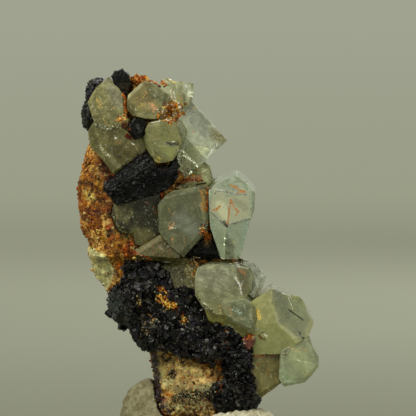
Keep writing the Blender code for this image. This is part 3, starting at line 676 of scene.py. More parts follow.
            ("gold", 0.75, 0.7, [(257, 308), (259, 316)]),
            ("ochre", 0.6, 0.5, [(260, 309), (261, 313)]),
            ("brown", 0.4, 0.4, [(279, 350), (288, 347)]),
        ],
        fine=[
            ("ink", 1.0, 0.34, [(298.7, 331), (299, 332)]),
            ("ink", 1.0, 0.3, [(302, 335.5), (303.4, 336)]),
            ("brown", 0.95, 0.4, [(259, 333), (261, 336), (265, 338)]),
            ("ink", 0.9, 0.22, [(260, 331), (264, 330)]),
            # The cream spot in the crater is a painted highlight
            ("cream", 1.0, 0.4, [(264, 332), (266.5, 334)]),
            ("haze", 0.6, 0.16, [(288, 295), (290, 300), (292, 306)]),
        ]),
    "lower_tip": dict(
        finish="etched", own="#7E8168", mottle=0.22, relief=0.015, streaks=10,
        changes=[
            ("#939A74", 0.8, 2.6, [(296, 352), (306, 366)]),
            ("#7C8868", 0.8, 1.6, [(283, 372), (292, 378)]),
        ],
        stains=[
            ("ochre", 0.4, 0.5, [(287, 344), (298, 349)]),
            ("orange", 0.35, 0.35, [(300, 346), (309, 349)]),
            ("ochre", 0.4, 0.5, [(304, 371), (310, 373)]),
            ("haze", 0.4, 0.25, [(295, 357), (304, 360), (313, 360)]),
            ("blue", 0.3, 0.5, [(282, 362), (284, 378), (300, 382)]),
        ]),
    "speckled_foot": dict(
        finish="stained", own="#544D22", mottle=0.5, relief=0.04, streaks=88,
        changes=[
            ("#645F34", 0.8, 2.0, [(262, 376), (272, 384)]),
        ],
        stains=[
            ("rust", 0.75, 0.4, [(250, 354), (266, 354), (281, 352)]),
            ("rust", 0.5, 0.35, [(281, 354), (280, 366), (281, 380)]),
            ("rust", 0.7, 0.3, [(257, 363)]),
            ("orange", 0.7, 0.3, [(268, 367.5)]),
            ("rust", 0.7, 0.3, [(266, 371), (268, 373)]),
            ("orange", 0.6, 0.3, [(255, 371)]),
            ("rust", 0.6, 0.3, [(262, 380)]),
            ("rust", 0.6, 0.25, [(273, 361)]),
            ("orange", 0.6, 0.25, [(262, 360)]),
            ("rust", 0.5, 0.25, [(258, 388)]),
        ]),
    "clear_tip": dict(
        finish="glassy", own="#DDE2D0", mottle=0.3, relief=0.03, streaks=60,
        changes=[
            ("#F0F2E6", 0.8, 1.0, [(246, 262), (253, 264)]),
        ],
        stains=[
            ("ink", 0.6, 0.28, [(254, 268), (256, 275)]),
            ("slate", 0.6, 0.28, [(259, 266), (262, 273)]),
            ("slate", 0.4, 0.25, [(250, 270), (253, 280)]),
            ("white", 0.5, 0.25, [(246, 261), (253, 262)]),
            ("white", 0.4, 0.25, [(256, 280), (259, 288)]),
        ]),
    "green_wedge": dict(
        # The light body colour makes up for the shade that falls on this crystal among the crust: painted light
        finish="etched", own="#9C984E", mottle=0.4, relief=0.02, streaks=30,
        changes=[("#8C8A50", 0.8, 2.0, [(232, 330), (244, 338)])],
        stains=[("haze", 0.35, 0.3, [(228, 322), (240, 332)])]),
    "fibrous_crystal": dict(
        finish="stained", own="#4F4A2A", mottle=0.8, relief=0.05, streaks=50,
        changes=[
            ("#6A6038", 0.7, 1.6, [(186, 262), (196, 272)]),
            ("#3A3720", 0.8, 1.2, [(160, 268), (180, 276)]),
        ],
        stains=[
            ("gold", 0.6, 0.25, [(188, 266), (193, 273)]),
            ("orange", 0.8, 0.35, [(195, 260), (198, 264)]),
            ("white", 0.6, 0.2, [(193, 255), (200, 256)]),
            ("cream", 0.6, 0.2, [(187, 262), (192, 268)]),
            ("gold", 0.5, 0.2, [(184, 268), (190, 276)]),
        ]),
    "rust_nodule": dict(
        finish="stained", own="#4A1A08", mottle=0.8, relief=0.08, streaks=40, changes=[],
        stains=[
            ("wine", 0.7, 0.8, [(246, 338), (250, 334)]),
            ("orange", 0.7, 0.4, [(251, 333), (253, 336)]),
            ("ink", 0.7, 0.35, [(246, 335), (248, 340)]),
        ]),
}
BODY_GAIN = {"etched": LIT, "stained": LIT, "glassy": 1.0}


def dress_crystals():
    for node, look in CRYSTALS.items():
        bm = copy_solid(node)
        ridge = soften_edges(bm, CRYSTAL_EDGE)
        fine = look.get("fine", [])
        refine(bm, CRYSTAL_MESH, fine)
        displace(bm, etched_relief(look["relief"], ridge))
        name = node + "_faces"
        mesh, points, normals = finish_mesh(name, bm)
        shifted = wobble_points(points)
        facing = normals[:, 1] < FAR_SIDE
        body = np.empty((len(points), 4))
        gain = BODY_GAIN[look["finish"]]
        body[:, :3] = np.array(linear(look["own"])[:3]) * gain
        body[:, 3] = look["mottle"]
        lay_marks(body, shifted, facing, look["changes"], gain, False, True)
        # Points near the edges are lightened: a painted highlight along the edges, partly also the paler look of
        # their worn chips
        for i, point in enumerate(points):
            gap = ridge.find(point)[2]
            if gap < EDGE_REACH:
                body[i, :3] *= 1.0 + 0.45 * (1.0 - gap / EDGE_REACH) * (0.6 + wave(Vector(point), 1.5, 7.0))
        np.clip(body, 0.0, 0.96, out=body)
        tint = np.zeros((len(points), 4))
        lay_marks(tint, shifted, facing, look["stains"] + fine, LIT, True, False)
        lay_values(mesh, "body", body)
        lay_values(mesh, "tint", tint)
        lay_values(mesh, "flow", streak_place(points, look["streaks"]), "FLOAT_VECTOR")
        add_piece(name, mesh, look["finish"], (node,))


# Rocks: rough ground that grains and small crystals grow on

def rock_relief(amount, grain_mm):
    def relief(place, normal):
        chips = noise.voronoi(place / grain_mm)[0]
        return amount * (wave(place, 2.6 * grain_mm) + 0.9 * (chips[1] - chips[0]) - 0.4
                         + 0.5 * wave(place, 0.6 * grain_mm, 3.0))
    return relief


# The smoother pale areas of the matrix: a facet on its lower left, and its foot
WEDGE = [(90, 249), (104, 256), (113, 270), (106, 288), (98, 280), (90, 262), (90, 249)]
TAN_FACE = [(155, 348), (190, 360), (214, 384), (206, 402), (165, 398), (156, 380), (155, 348)]

ROCKS = {
    "matrix": dict(
        finish="feldspar", mesh=0.55, relief=0.62, grain=2.0, own="#8C6418", gain=2.0,
        plain=[WEDGE, TAN_FACE],
        patches=[
            ("#C8A458", 8.0, 0.08, 61.0), ("#7E4A12", 7.0, 0.1, 73.0), ("#D4B468", 2.4, 0.17, 21.0),
            ("#A8580A", 1.6, 0.2, 33.0), ("#44260A", 2.8, 0.26, 47.0),
        ],
        zones=[
            ("#A0680C", 0.9, 3.4, [(88, 158), (84, 200)]),
            ("#D4B870", 0.9, 1.4, [(86, 192), (92, 198)]),
            ("#C8A860", 0.8, 1.1, [(92, 168), (98, 176)]),
            ("#7A4A10", 0.8, 2.0, [(84, 210), (96, 222)]),
            ("#A87A2C", 0.8, 1.6, [(86, 228), (96, 238)]),
            ("#C0A468", 0.8, 1.2, [(92, 234), (100, 246)]),
            ("#5A3412", 0.9, 1.4, [(100, 150), (104, 164), (110, 176)]),
            ("#3A220C", 0.9, 0.8, [(102, 152), (106, 164), (110, 170)]),
            ("#241608", 0.95, 0.7, [(77, 182), (84, 182), (91, 184)]),
            ("#6A5426", 0.7, 2.4, [(112, 216), (122, 232)]),
            ("#4A401C", 0.8, 1.6, [(118, 222), (124, 236)]),
            ("#C8903C", 0.8, 1.8, [(100, 250), (112, 262)]),
            ("#C0BC88", 1.25, 0.9, WEDGE),
            ("#B8741E", 0.9, 1.2, [(120, 98), (126, 118)]),
            ("#C08C44", 0.9, 1.4, [(118, 118), (130, 120)]),
            ("#4A2008", 0.9, 1.2, [(124, 124), (131, 136)]),
            ("#C0781E", 0.9, 1.6, [(130, 76), (140, 82)]),
            ("#B0701C", 0.9, 1.6, [(205, 184), (207, 210)]),
            ("#BCA870", 1.2, 7.0, [(166, 356), (192, 376)]),
            ("#C8B888", 1.0, 2.0, [(156, 372), (168, 382)]),
            ("#C4A870", 1.0, 2.2, [(158, 352), (176, 352)]),
            ("#3A3E32", 1.2, 3.2, [(182, 396), (212, 392)]),
            ("#A6A67C", 0.8, 1.2, [(196, 388), (214, 384)]),
            ("#4A4050", 0.9, 1.8, [(160, 398), (168, 408)]),
            ("#28222C", 1.2, 1.6, [(154, 354), (157, 382), (159, 412)]),
            ("#26241E", 0.95, 0.6, [(160, 355), (164, 360), (169, 357), (166, 351)]),
            ("#26241E", 0.95, 0.5, [(170, 372), (174, 376), (177, 372), (173, 369)]),
            ("#8E8C68", 1.3, 2.6, [(172, 406), (206, 408)]),
        ]),
    "dark_crust": dict(
        finish="crust", mesh=0.5, relief=0.58, grain=2.1, own="#121013", gain=1.0,
        zones=[
            ("#38423A", 1.0, 3.4, [(114, 296), (122, 326)]),
            ("#4A564A", 0.9, 2.0, [(118, 300), (124, 318)]),
            ("#2C2632", 0.9, 2.4, [(116, 288), (156, 292)]),
            ("#D88420", 1.0, 1.5, [(160, 297), (172, 303)]),
            ("#B07020", 0.95, 1.3, [(160, 288), (170, 298), (184, 318)]),
            ("#8A5A1C", 0.9, 0.9, [(178, 305), (184, 320)]),
            ("#A88C4C", 0.95, 1.1, [(136, 293), (142, 303)]),
            ("#A08A50", 0.9, 0.9, [(147, 313), (154, 318)]),
            ("#8A4C14", 0.9, 0.9, [(219, 356), (221, 374), (219, 390)]),
            ("#F0D090", 1.2, 1.6, [(158, 354), (170, 358), (188, 364)]),
        ]),
    "purple_rim": dict(
        finish="fluorite", mesh=0.42, relief=0.4, grain=1.1, own="#46463E", gain=1.0,
        zones=[
            ("#2E2040", 1.0, 1.6, [(88, 92), (94, 96)]),
            ("#2E2040", 0.9, 1.0, [(94, 86), (98, 90)]),
            ("#A098B0", 0.9, 0.9, [(97, 81), (105, 80)]),
            ("#4E504C", 0.8, 1.6, [(90, 110), (94, 122)]),
            ("#202220", 0.9, 0.9, [(84, 104), (86, 124)]),
        ]),
    "tourmaline_block": dict(
        finish="tourmaline", mesh=0.42, relief=0.42, grain=1.3, own="#050404", gain=1.0,
        zones=[
            ("#30302C", 0.9, 1.2, [(138, 162), (148, 170)]),
            ("#100A16", 1.0, 2.6, [(156, 174), (174, 164)]),
            ("#301A08", 0.8, 0.7, [(155, 165), (165, 166)]),
        ]),
    "tourmaline_top": dict(
        finish="tourmaline", mesh=0.4, relief=0.3, grain=1.0, own="#070604", gain=1.0,
        zones=[("#4A3A1C", 0.9, 1.4, [(124, 84), (130, 92)])]),
    "tourmaline_small": dict(
        finish="tourmaline", mesh=0.35, relief=0.2, grain=1.0, own="#050504", gain=1.0,
        zones=[
            ("#5A5A54", 1.0, 0.8, [(138, 124), (141, 128)]),
            ("#A05C18", 1.0, 0.4, [(148, 120), (149, 127)]),
        ]),
    "tourmaline_wedge": dict(
        finish="tourmaline", mesh=0.45, relief=0.35, grain=1.2, own="#040402", gain=1.0,
        zones=[
            ("#A88444", 1.0, 1.6, [(202, 228), (207, 240)]),
            ("#C8B078", 0.8, 0.7, [(203, 234), (208, 240)]),
        ]),
}


def dress_rocks():
    for node, look in ROCKS.items():
        bm = copy_solid(node)
        refine(bm, look["mesh"])
        displace(bm, rock_relief(look["relief"], look["grain"]))
        name = node + "_faces"
        mesh, points, normals = finish_mesh(name, bm, 50.0)
        tint = np.zeros((len(points), 4))
        tint[:, :3] = np.array(linear(look["own"])[:3]) * look["gain"]
        for code, size, least, lift in look.get("patches", ()):
            colour = np.array(linear(code)[:3]) * look["gain"]
            for i, point in enumerate(points):
                share = min(1.0, max(0.0, 8.0 * (wave(Vector(point), size, lift) - least)))
                tint[i, :3] += 0.85 * share * (colour - tint[i, :3])
        lay_marks(tint, wobble_points(points), normals[:, 1] < FAR_SIDE,
                  [(code, 0.75 * share, width, line) for code, share, width, line in look["zones"]],
                  look["gain"], False, True)
        for line in look.get("plain", ()):
            tint[(gap_to_line(points, line) < 0.4) & (normals[:, 1] < FAR_SIDE), 3] = 0.5
        # Points are darkened towards the borders of the chips, the creases of the relief: painted shade in the
        # creases, with a slow random change of tone on top
        for i, point in enumerate(points):
            chips = noise.voronoi(Vector(point) / look["grain"])[0]
            tint[i, :3] *= 0.5 + 1.0 * min(0.75, chips[1] - chips[0]) + 0.35 * wave(Vector(point), 3.2, 2.0)
        GROUND[name] = tint[:, :3].copy()
        lay_values(mesh, "tint", tint)
        add_piece(name, mesh, look["finish"], (node,))


GROUND = {}


# Grains and small crystals, joined into one mesh for each kind

def cut_grain(sides, waist, height, seed):
    """One small crystal or chip as point and triangle arrays, about a millimetre large."""
    bm = bmesh.new()
    if sides == 0:
        bmesh.ops.create_icosphere(bm, subdivisions=1, radius=0.5)
    else:
        bmesh.ops.create_cone(bm, cap_ends=True, segments=sides, radius1=0.5, radius2=0.5 * waist,
                              depth=height)
    lots = random.Random(seed)
    for corner in bm.verts:
        corner.co *= 1.0 + lots.uniform(-0.12, 0.12)
    bmesh.ops.triangulate(bm, faces=bm.faces)
    bm.verts.index_update()
    points = np.array([corner.co for corner in bm.verts])
    corners = np.array([[corner.index for corner in face.verts] for face in bm.faces])
    bm.free()
    return points, corners


CHIPS = [cut_grain(0, 1.0, 1.0, seed) for seed in (1, 2, 3, 4)]
BLOCKS = [cut_grain(4, 0.95, 0.8, 5), cut_grain(4, 0.9, 1.0, 6), cut_grain(6, 0.6, 1.2, 7),
          cut_grain(6, 0.85, 0.9, 8), cut_grain(5, 0.5, 1.0, 9)]


def join_grains(name, finish, shapes, grains, seed):
    """Join grains into one piece; each has a place, a normal, a size, a colour and a tilt."""
    lots = random.Random(seed)
    points, corners, tints, start = [], [], [], 0
    for place, normal, size, colour, tilt in grains:
        shape, faces = shapes[lots.randrange(len(shapes))]
        lean = Vector((lots.gauss(0, tilt), lots.gauss(0, tilt), lots.gauss(0, tilt)))
        turn = (Vector(normal) + lean).to_track_quat("Z", "Y").to_matrix()
        turn = turn @ Matrix.Rotation(lots.uniform(0.0, math.tau), 3, "Z")
        spread = [size * lots.uniform(0.75, 1.3) for _ in range(3)]
        moved = shape @ (np.array(turn) * np.array(spread)).T + np.array(place)
        points.append(moved)
        corners.append(faces + start)
        tints.append(np.tile((*colour, 0.0), (len(shape), 1)))
        start += len(shape)
    mesh = bpy.data.meshes.new(name)
    mesh.from_pydata((np.concatenate(points) * MM).tolist(), [], np.concatenate(corners).tolist())
    lay_values(mesh, "tint", np.concatenate(tints))
    if finish in BODY_GAIN:
        body = np.concatenate(tints)
        body[:, 3] = 0.3
        lay_values(mesh, "body", body)
        lay_values(mesh, "flow", np.concatenate(points) * MM, "FLOAT_VECTOR")
    return add_piece(name, mesh, finish)


def over_surface(name, count, seed, wanted=None):
    """Even random places on a piece, each with its normal and the index of a near point."""
    points, normals, corners = SURFACES[name]
    a, b, c = (points[corners[:, i]] for i in range(3))
    across = np.cross(b - a, c - a)
    area = np.linalg.norm(across, axis=1)
    middle = (a + b + c) / 3.0
    weight = area * (wanted(middle, across / np.maximum(area, 1e-9)[:, None]) if wanted else 1.0)
    lots = np.random.default_rng(seed)
    picks = lots.choice(len(corners), size=count, p=weight / weight.sum())
    u, v = lots.random((2, count))
    flip = u + v > 1.0
    u[flip], v[flip] = 1.0 - u[flip], 1.0 - v[flip]
    places = a[picks] + (b - a)[picks] * u[:, None] + (c - a)[picks] * v[:, None]
    return places, across[picks] / area[picks][:, None], corners[picks, 0]


def build_front():
    """One tree of every surface so far, for finding what shows at a spot of the picture."""
    points, corners, start = [], [], 0
    for place, _, faces in SURFACES.values():
        points += place.tolist()
        corners += (faces + start).tolist()
        start += len(place)
    return BVHTree.FromPolygons(points, corners)


def behind_spot(front, spot):
    """The place and normal of the surface that shows at a spot, or None."""
    x, z = on_front(spot)
    place, normal, _, _ = front.ray_cast(Vector((x, -60.0, z)), Vector((0.0, 1.0, 0.0)))
    return (place, normal) if place else None


def front_first(middle, normal):
    """Grains are set closer where they show."""
    return np.where(normal[:, 1] < FAR_SIDE, 1.0, 0.45)


def pick(lots, palette, gain=1.0):
    code = lots.choice(palette)
    return [min(0.95, part * gain) for part in linear(PALETTE.get(code, code))[:3]]


def crust_places(middle, normal):
    """Few crystals grow on the nearly smooth lower left face and on the crust's lower edge."""
    smooth = gap_to_line(middle, [(114, 298), (122, 328)]) < 3.0
    margin = gap_to_line(middle, [(158, 355), (170, 359), (188, 366)]) < 2.0
    return front_first(middle, normal) * np.where(margin, 0.04, np.where(smooth, 0.18, 1.0))


def grow_crust():
    lots = random.Random(11)
    palette = ["#0A090B", "#08080A", "#141016", "#221A28", "#2C2434", "#0C0C0A", "#423C48", "#34342C",
               "#6A6660", "#1E201C", "#5A5248"]
    grains = []
    for name, count, wanted in (("dark_crust_faces", 6300, crust_places),
                                ("tourmaline_block_faces", 420, front_first),
                                ("tourmaline_wedge_faces", 90, front_first)):
        places, normals, nearest = over_surface(name, count, 12, wanted)
        ground = GROUND[name]
        for place, normal, near in zip(places, normals, nearest):
            size = 0.3 + 0.8 * lots.random() ** 2.4
            own = ground[near]
            if max(own) > 0.022 and lots.random() < 0.7:
                colour = [min(0.7, part * lots.uniform(0.5, 1.8)) for part in own]
                size *= 0.7
            elif name == "dark_crust_faces":
                colour = pick(lots, palette)
                if lots.random() < 0.045:
                    size = lots.uniform(1.3, 2.1)
            else:
                colour = pick(lots, palette[:5], 0.7)
            grains.append((place + 0.1 * size * normal, normal, size, colour, 0.55))
    join_grains("crust_crystals", "crust", BLOCKS, grains, 13)


def matrix_places(middle, normal):
    return front_first(middle, normal) * np.where(gap_to_line(middle, WEDGE) < 0.3, 0.2, 1.0)


def strew_feldspar():
    lots = random.Random(21)
    grains = []
    places, normals, nearest = over_surface("matrix_faces", 7000, 22, matrix_places)
    ground = GROUND["matrix_faces"]
    for place, normal, near in zip(places, normals, nearest):
        size = 0.28 + 0.7 * lots.random() ** 2.6
        own = np.array(ground[near])
        kind = lots.random()
        salty = own[2] > 0.3 * own[0]
        if kind < 0.45:
            colour = own * lots.uniform(0.8, 1.7)
        elif kind < 0.68:
            colour = 0.35 * own + 0.65 * np.array(pick(lots, ["#94500C", "#B0681A", "#7A3C08"], 1.8))
            colour *= 0.5 if salty else 1.0
        elif kind < 0.9:
            colour = 0.4 * own + 0.6 * np.array(pick(lots, ["#C8AC64", "#D8C48C", "#B89C5C"], 2.0))
        else:
            colour = own * 0.2
        grains.append((place, normal, size, np.minimum(colour, 0.9), 0.8))
    join_grains("feldspar_grains", "feldspar", CHIPS, grains, 23)


def grow_rim():
    lots = random.Random(31)
    grains = []
    places, normals, nearest = over_surface("purple_rim_faces", 900, 32, front_first)
    ground = GROUND["purple_rim_faces"]
    for place, normal, near in zip(places, normals, nearest):
        colour = ground[near] * lots.choice([0.35, 0.6, 1.0, 1.5, 2.4])
        grains.append((place, normal, 0.25 + 0.5 * lots.random() ** 2, np.minimum(colour, 0.8), 0.6))
    join_grains("rim_crystals", "fluorite", BLOCKS, grains, 33)


# Clusters of crumbs along the joints between crystals: colours, width in mm, count, size, line
CRUMBS = {
    "iron_stained_crumbs": ("feldspar", [
        (["#E8963A", "#D07C1C", "#F0C880", "#FFF0D0", "#7A3008"], 2.0, 380, 0.5, [(165, 112), (178, 106)]),
        (["#E09030", "#C87418", "#F8E8C0", "#8A3A0A"], 1.0, 90, 0.42, [(160, 116), (170, 121), (182, 113)]),
        (["#A8601C", "#8A4410", "#B87A30"], 0.4, 90, 0.36, [(123, 93), (126, 98), (125.5, 104), (127, 111),
                                                            (122.5, 117)]),
        (["#B89A5C", "#C8A868", "#A8681E"], 0.7, 70, 0.36, [(117, 119), (130, 116)]),
        (["#3A2008", "#2A1808", "#6A3A10"], 0.7, 60, 0.4, [(124, 123), (130, 128)]),
        (["#5A1606", "#6A2208", "#3A1006"], 0.5, 40, 0.4, [(127, 134), (131, 136)]),
        (["#A8601C", "#C08A44", "#8A4A12"], 0.7, 70, 0.4, [(129, 77), (139, 80), (147, 76)]),
        (["#A8621C", "#7A4010", "#B87A30"], 0.45, 60, 0.35, [(207, 184), (207, 198), (206, 210)]),
        (["#A8621C", "#7A4010"], 0.4, 30, 0.3, [(208, 219), (209, 228)]),
        (["#B0641A", "#8A4A12", "#C08838"], 0.5, 60, 0.35, [(156, 81), (166, 84)]),
        (["#A8621C", "#7A4010", "#4A2008"], 0.45, 60, 0.35, [(178, 182), (190, 179), (203, 180)]),
        (["#A8601C", "#8A4410"], 0.35, 50, 0.32, [(131, 249), (142, 253), (152, 258)]),
        (["#6A2408", "#8A4A12", "#B0641A"], 0.6, 50, 0.35, [(247, 336), (252, 333)]),
        (["#8A4A12", "#A8601C"], 0.3, 30, 0.3, [(224, 338), (228, 346)]),
        (["#B0641A", "#8A4A12", "#C08838"], 0.8, 60, 0.35, [(218, 356), (221, 372), (219, 390)]),
        (["#8A5A20", "#A8742C"], 0.5, 30, 0.3, [(223, 322), (229, 336)]),
        (["#E89830", "#D07C1C", "#F0C070"], 1.5, 230, 0.42, [(158, 294), (172, 303)]),
        (["#D08828", "#B06818", "#D8B070"], 1.0, 150, 0.38, [(160, 286), (172, 300), (186, 320)]),
        (["#807C66", "#9A9478", "#5C5848"], 1.6, 120, 0.34, [(128, 300), (150, 322), (140, 336)]),
        (["#5C5848", "#6A6470", "#8A8068"], 3.0, 240, 0.3, [(130, 285), (170, 330), (205, 345), (235, 380)]),
        (["#B8A060", "#A88A48", "#D0C088"], 0.7, 60, 0.36, [(136, 293), (142, 303)]),
        (["#B8A060", "#A88A48"], 0.6, 50, 0.34, [(147, 313), (154, 318)]),
        (["#C07820", "#A85C14", "#C8A060"], 1.0, 110, 0.36, [(203, 228), (209, 238)]),
        (["#F0DCA0", "#D8B040", "#A05C14"], 0.5, 60, 0.28, [(188, 262), (198, 262), (192, 276)]),
        (["#D07C1C", "#A85C14", "#E0B068"], 0.9, 60, 0.32, [(162, 352), (178, 356), (190, 366)]),
        (["#C06C14", "#A8540C"], 2.6, 130, 0.2, [(166, 360), (196, 384)]),
        (["#10110D", "#2A2C24", "#181812", "#9A9C80"], 1.5, 330, 0.36, [(176, 397), (214, 392)]),
        (["#2A2430", "#3A3440", "#1A161C", "#544C5C"], 0.9, 260, 0.42, [(155, 354), (157, 382), (160, 404),
                                                                       (170, 411)]),
        (["#16150F", "#2E2C2C", "#544C5C"], 0.2, 90, 0.34, [(162, 355), (165, 360), (170, 359), (171, 354),
                                                           (166, 351), (162, 355)]),
        (["#16150F", "#2E2C2C", "#8A8488"], 0.16, 70, 0.3, [(169, 373), (172, 377), (176, 375), (175, 370),
                                                           (171, 369), (169, 373)]),
    ]),
    "beryl_crumbs": ("etched", [
        (["#8E8B62", "#66603A", "#A5A78E"], 0.6, 60, 0.5, [(97, 122), (106, 128), (118, 124)]),
        (["#544E2C", "#6C663E", "#3A3718"], 0.6, 60, 0.45, [(112, 214), (120, 226), (130, 238)]),
        (["#6C663E", "#8E8B62"], 0.5, 60, 0.42, [(134, 246), (150, 262), (176, 268), (194, 258)]),
        (["#4C482A", "#6C663E"], 0.5, 50, 0.42, [(176, 262), (200, 300), (216, 312)]),
        (["#8E8B62", "#A5A78E"], 0.5, 50, 0.42, [(250, 312), (256, 326), (252, 336)]),
        (["#A5A78E", "#84825F"], 0.45, 40, 0.42, [(176, 146), (186, 168), (196, 182)]),
        (["#A5A78E", "#84825F"], 0.45, 40, 0.42, [(262, 352), (284, 352), (290, 346)]),
    ]),
}


def near_line(lots, line, width):
    """A random spot near a line of spots."""
    i = lots.randrange(max(1, len(line) - 1))
    start, end = line[i], line[min(i + 1, len(line) - 1)]
    share = lots.random()
    reach = width / SPOT_SIZE
    return (start[0] + share * (end[0] - start[0]) + lots.gauss(0.0, 0.45 * reach),
            start[1] + share * (end[1] - start[1]) + lots.gauss(0.0, 0.45 * reach))


def strew_crumbs(front):
    for name, (finish, clusters) in CRUMBS.items():
        lots = random.Random(len(name))
        grains = []
        for palette, width, count, size, line in clusters:
            for _ in range(count):
                hit = behind_spot(front, near_line(lots, line, width))
                if hit and hit[1].y < 0.2:
                    crumb = size * lots.uniform(0.6, 1.5)
                    grains.append((hit[0], hit[1], crumb, pick(lots, palette, 2.0), 0.8))
        join_grains(name, finish, CHIPS, grains, 41)


# Needles and slivers that lie on the crystals, some of the slivers being painted glints: start, end, thickness in mm
NEEDLES = [
    ((288, 307), (296, 313), 0.3), ((296, 313), (303, 318), 0.28),
    ((179, 183), (187, 185.5), 0.4), ((195.5, 184), (206, 182), 0.4),
    ((87, 167), (93, 159), 0.55), ((163.5, 87), (168.8, 84.4), 0.35),
]
# Pale slivers: the two along the hazy crystals' edge are a painted highlight, the short one on the large prism a
# painted glint; the others are pale fibres and shards
PALE_SLIVERS_AND_PAINTED_GLINTS = [
    ((193, 255.5), (200, 256.5), 0.3), ((193, 256), (195, 261), 0.25), ((187, 261), (192, 268), 0.25),
    ((185, 266), (190, 274), 0.25), ((190, 258), (196, 268), 0.22), ((236, 275), (241, 284), 0.35),
    ((241, 284), (240, 291), 0.3), ((206, 145.5), (208, 146.5), 0.3), ((160, 84), (164, 79), 0.5),
]


def lay_rods(name, finish, front, rods, colour, sides):
    """Thin rods between two spots each, half sunk in what shows there."""
    points, corners, start = [], [], 0
    shape, faces = cut_grain(sides, 0.7, 1.0, 3)
    for first, last, thick in rods:
        hits = behind_spot(front, first), behind_spot(front, last)
        if not all(hits):
            continue
        a, b = (place + 0.2 * thick * normal for place, normal in hits)
        turn = np.array((b - a).to_track_quat("Z", "Y").to_matrix())
        points.append(shape @ (turn * np.array((thick, thick, (b - a).length))).T + np.array((a + b) / 2.0))
        corners.append(faces + start)
        start += len(shape)
    mesh = bpy.data.meshes.new(name)
    mesh.from_pydata((np.concatenate(points) * MM).tolist(), [], np.concatenate(corners).tolist())
    tint = np.tile((*linear(colour)[:3], 0.0), (start, 1))
    lay_values(mesh, "tint", tint)
    if finish in BODY_GAIN:
        lay_values(mesh, "body", tint)
        lay_values(mesh, "flow", np.concatenate(points) * MM, "FLOAT_VECTOR")
    add_piece(name, mesh, finish)


def dress_putty():
    bm = copy_solid("putty")
    refine(bm, 0.8)
    for _ in range(14):
        bmesh.ops.smooth_vert(bm, verts=[corner for corner in bm.verts if corner.co.z > 0.6], factor=0.5,
                              use_axis_x=True, use_axis_y=True, use_axis_z=True)

    def rolled(place, normal):
        if place.z < 0.4:
            return 0.0
        across = (place - Vector((-9.0, 0.0, -2.0))).length
        rolls = math.sin(across * 4.0 + 3.0 * wave(place, 6.0))
        return 0.2 * wave(place, 3.0) + 0.16 * rolls + 0.08 * wave(place, 1.1) - 0.1

    displace(bm, rolled)
    mesh, points, normals = finish_mesh("putty_lump", bm, 60.0)
    tint = np.zeros((len(points), 4))
    tint[:, :3] = np.array(linear("#B2AB8A")[:3])
    # The left lump is painted darker and the right roll lighter: painted shade and painted light
    shade = [("#9E9878", 0.9, 6.0, [(135, 392), (130, 414)]), ("#F0EACE", 1.0, 6.0, [(222, 414), (272, 414)])]
    lay_marks(tint, wobble_points(points), normals[:, 1] < FAR_SIDE, shade, 1.0, False, True)
    lay_values(mesh, "tint", tint)
    add_piece("putty_lump", mesh, "putty", ("putty",))


# Floor, light and camera

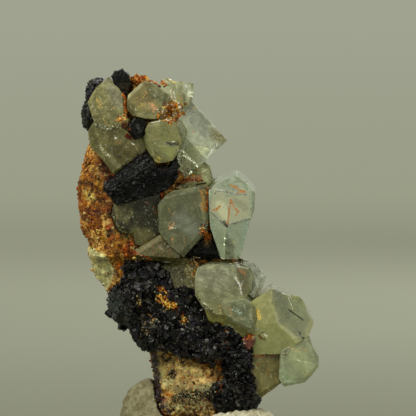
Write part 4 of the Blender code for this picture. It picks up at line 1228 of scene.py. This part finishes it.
def build_stage():
    """A large round paper floor, painted darker near the middle and lighter outwards: a painted falloff of light, as
    if lit from afar.
    """
    bm = bmesh.new()
    bmesh.ops.create_circle(bm, cap_ends=True, segments=96, radius=14.0)
    mesh = bpy.data.meshes.new("floor")
    bm.to_mesh(mesh)
    bm.free()
    material = bpy.data.materials.new("paper, pale grey green")
    material.use_nodes = True
    tree = material.node_tree
    shader = tree.nodes["Principled BSDF"]
    place = add_node(tree, "ShaderNodeTexCoord").outputs["Object"]
    away = add_node(tree, "ShaderNodeVectorMath", {"operation": "LENGTH"}, {0: place}).outputs["Value"]
    away = add_node(tree, "ShaderNodeMath", {"operation": "ADD"}, {0: away, 1: CAMERA_DISTANCE}).outputs[0]
    near = add_node(tree, "ShaderNodeMath", {"operation": "DIVIDE"}, {0: CAMERA_DISTANCE, 1: away})
    colours = add_node(tree, "ShaderNodeValToRGB", None, {"Fac": near.outputs[0]})
    stops = colours.color_ramp.elements
    stops.new(0.5)
    stops.new(0.65)
    stops.new(0.8)
    shades = ((0.22, "#E0E1DD"), (0.56, "#D3D4C9"), (0.65, "#BCBDB1"), (0.76, "#A4A699"), (0.95, "#8C8E81"))
    for stop, (position, code) in zip(stops, shades):
        stop.position = position
        stop.color = linear(code)
    tree.links.new(colours.outputs["Color"], shader.inputs["Base Color"])
    shader.inputs["Roughness"].default_value = 0.9
    shader.inputs["Specular IOR Level"].default_value = 0.1
    mesh.materials.append(material)
    floor = bpy.data.objects.new("floor", mesh)
    bpy.context.scene.collection.objects.link(floor)


def add_softbox(name, place, size, power, colour):
    light = bpy.data.lights.new(name, "AREA")
    light.shape = "RECTANGLE"
    light.size, light.size_y = size
    light.energy = power
    light.color = linear(colour)[:3]
    item = bpy.data.objects.new(name, light)
    item.location = place
    item.rotation_euler = (PICTURE_MIDDLE - Vector(place)).to_track_quat("-Z", "Y").to_euler()
    bpy.context.scene.collection.objects.link(item)


def build_light():
    scene = bpy.context.scene
    scene.view_settings.view_transform = "Standard"
    world = bpy.data.worlds.new("studio")
    world.use_nodes = True
    world.node_tree.nodes["Background"].inputs["Color"].default_value = linear("#C9CCB8")
    world.node_tree.nodes["Background"].inputs["Strength"].default_value = 0.8
    scene.world = world
    add_softbox("key_softbox", (-0.5, -0.7, 0.85), (0.5, 0.5), 7.0, "#FFFDF4")
    add_softbox("fill_softbox", (0.9, -0.9, 0.3), (0.5, 0.7), 1.5, "#F4F6FF")
    add_softbox("rear_softbox", (0.4, 0.8, 0.6), (0.6, 0.4), 3.0, "#FFFDF4")


def build_camera():
    data = bpy.data.cameras.new("camera")
    data.sensor_width = SENSOR
    data.lens = SENSOR * CAMERA_DISTANCE / PICTURE_WIDTH
    data.clip_start = 0.1
    data.clip_end = 40.0
    camera = bpy.data.objects.new("camera", data)
    back = Vector((0.0, -math.cos(CAMERA_RISE), math.sin(CAMERA_RISE)))
    camera.location = PICTURE_MIDDLE + back * CAMERA_DISTANCE
    camera.rotation_euler = (-back).to_track_quat("-Z", "Y").to_euler()
    bpy.context.scene.collection.objects.link(camera)
    bpy.context.scene.camera = camera


dress_crystals()
dress_rocks()
dress_putty()
front = build_front()
grow_crust()
strew_feldspar()
grow_rim()
strew_crumbs(front)
lay_rods("tourmaline_needles", "tourmaline", front, NEEDLES, "#0A0A09", 5)
# Pale slivers, some of them painted highlights and glints
lay_rods("pale_slivers_and_painted_glints", "feldspar", front, PALE_SLIVERS_AND_PAINTED_GLINTS, "#E8E8D8", 4)
build_stage()
build_light()
build_camera()
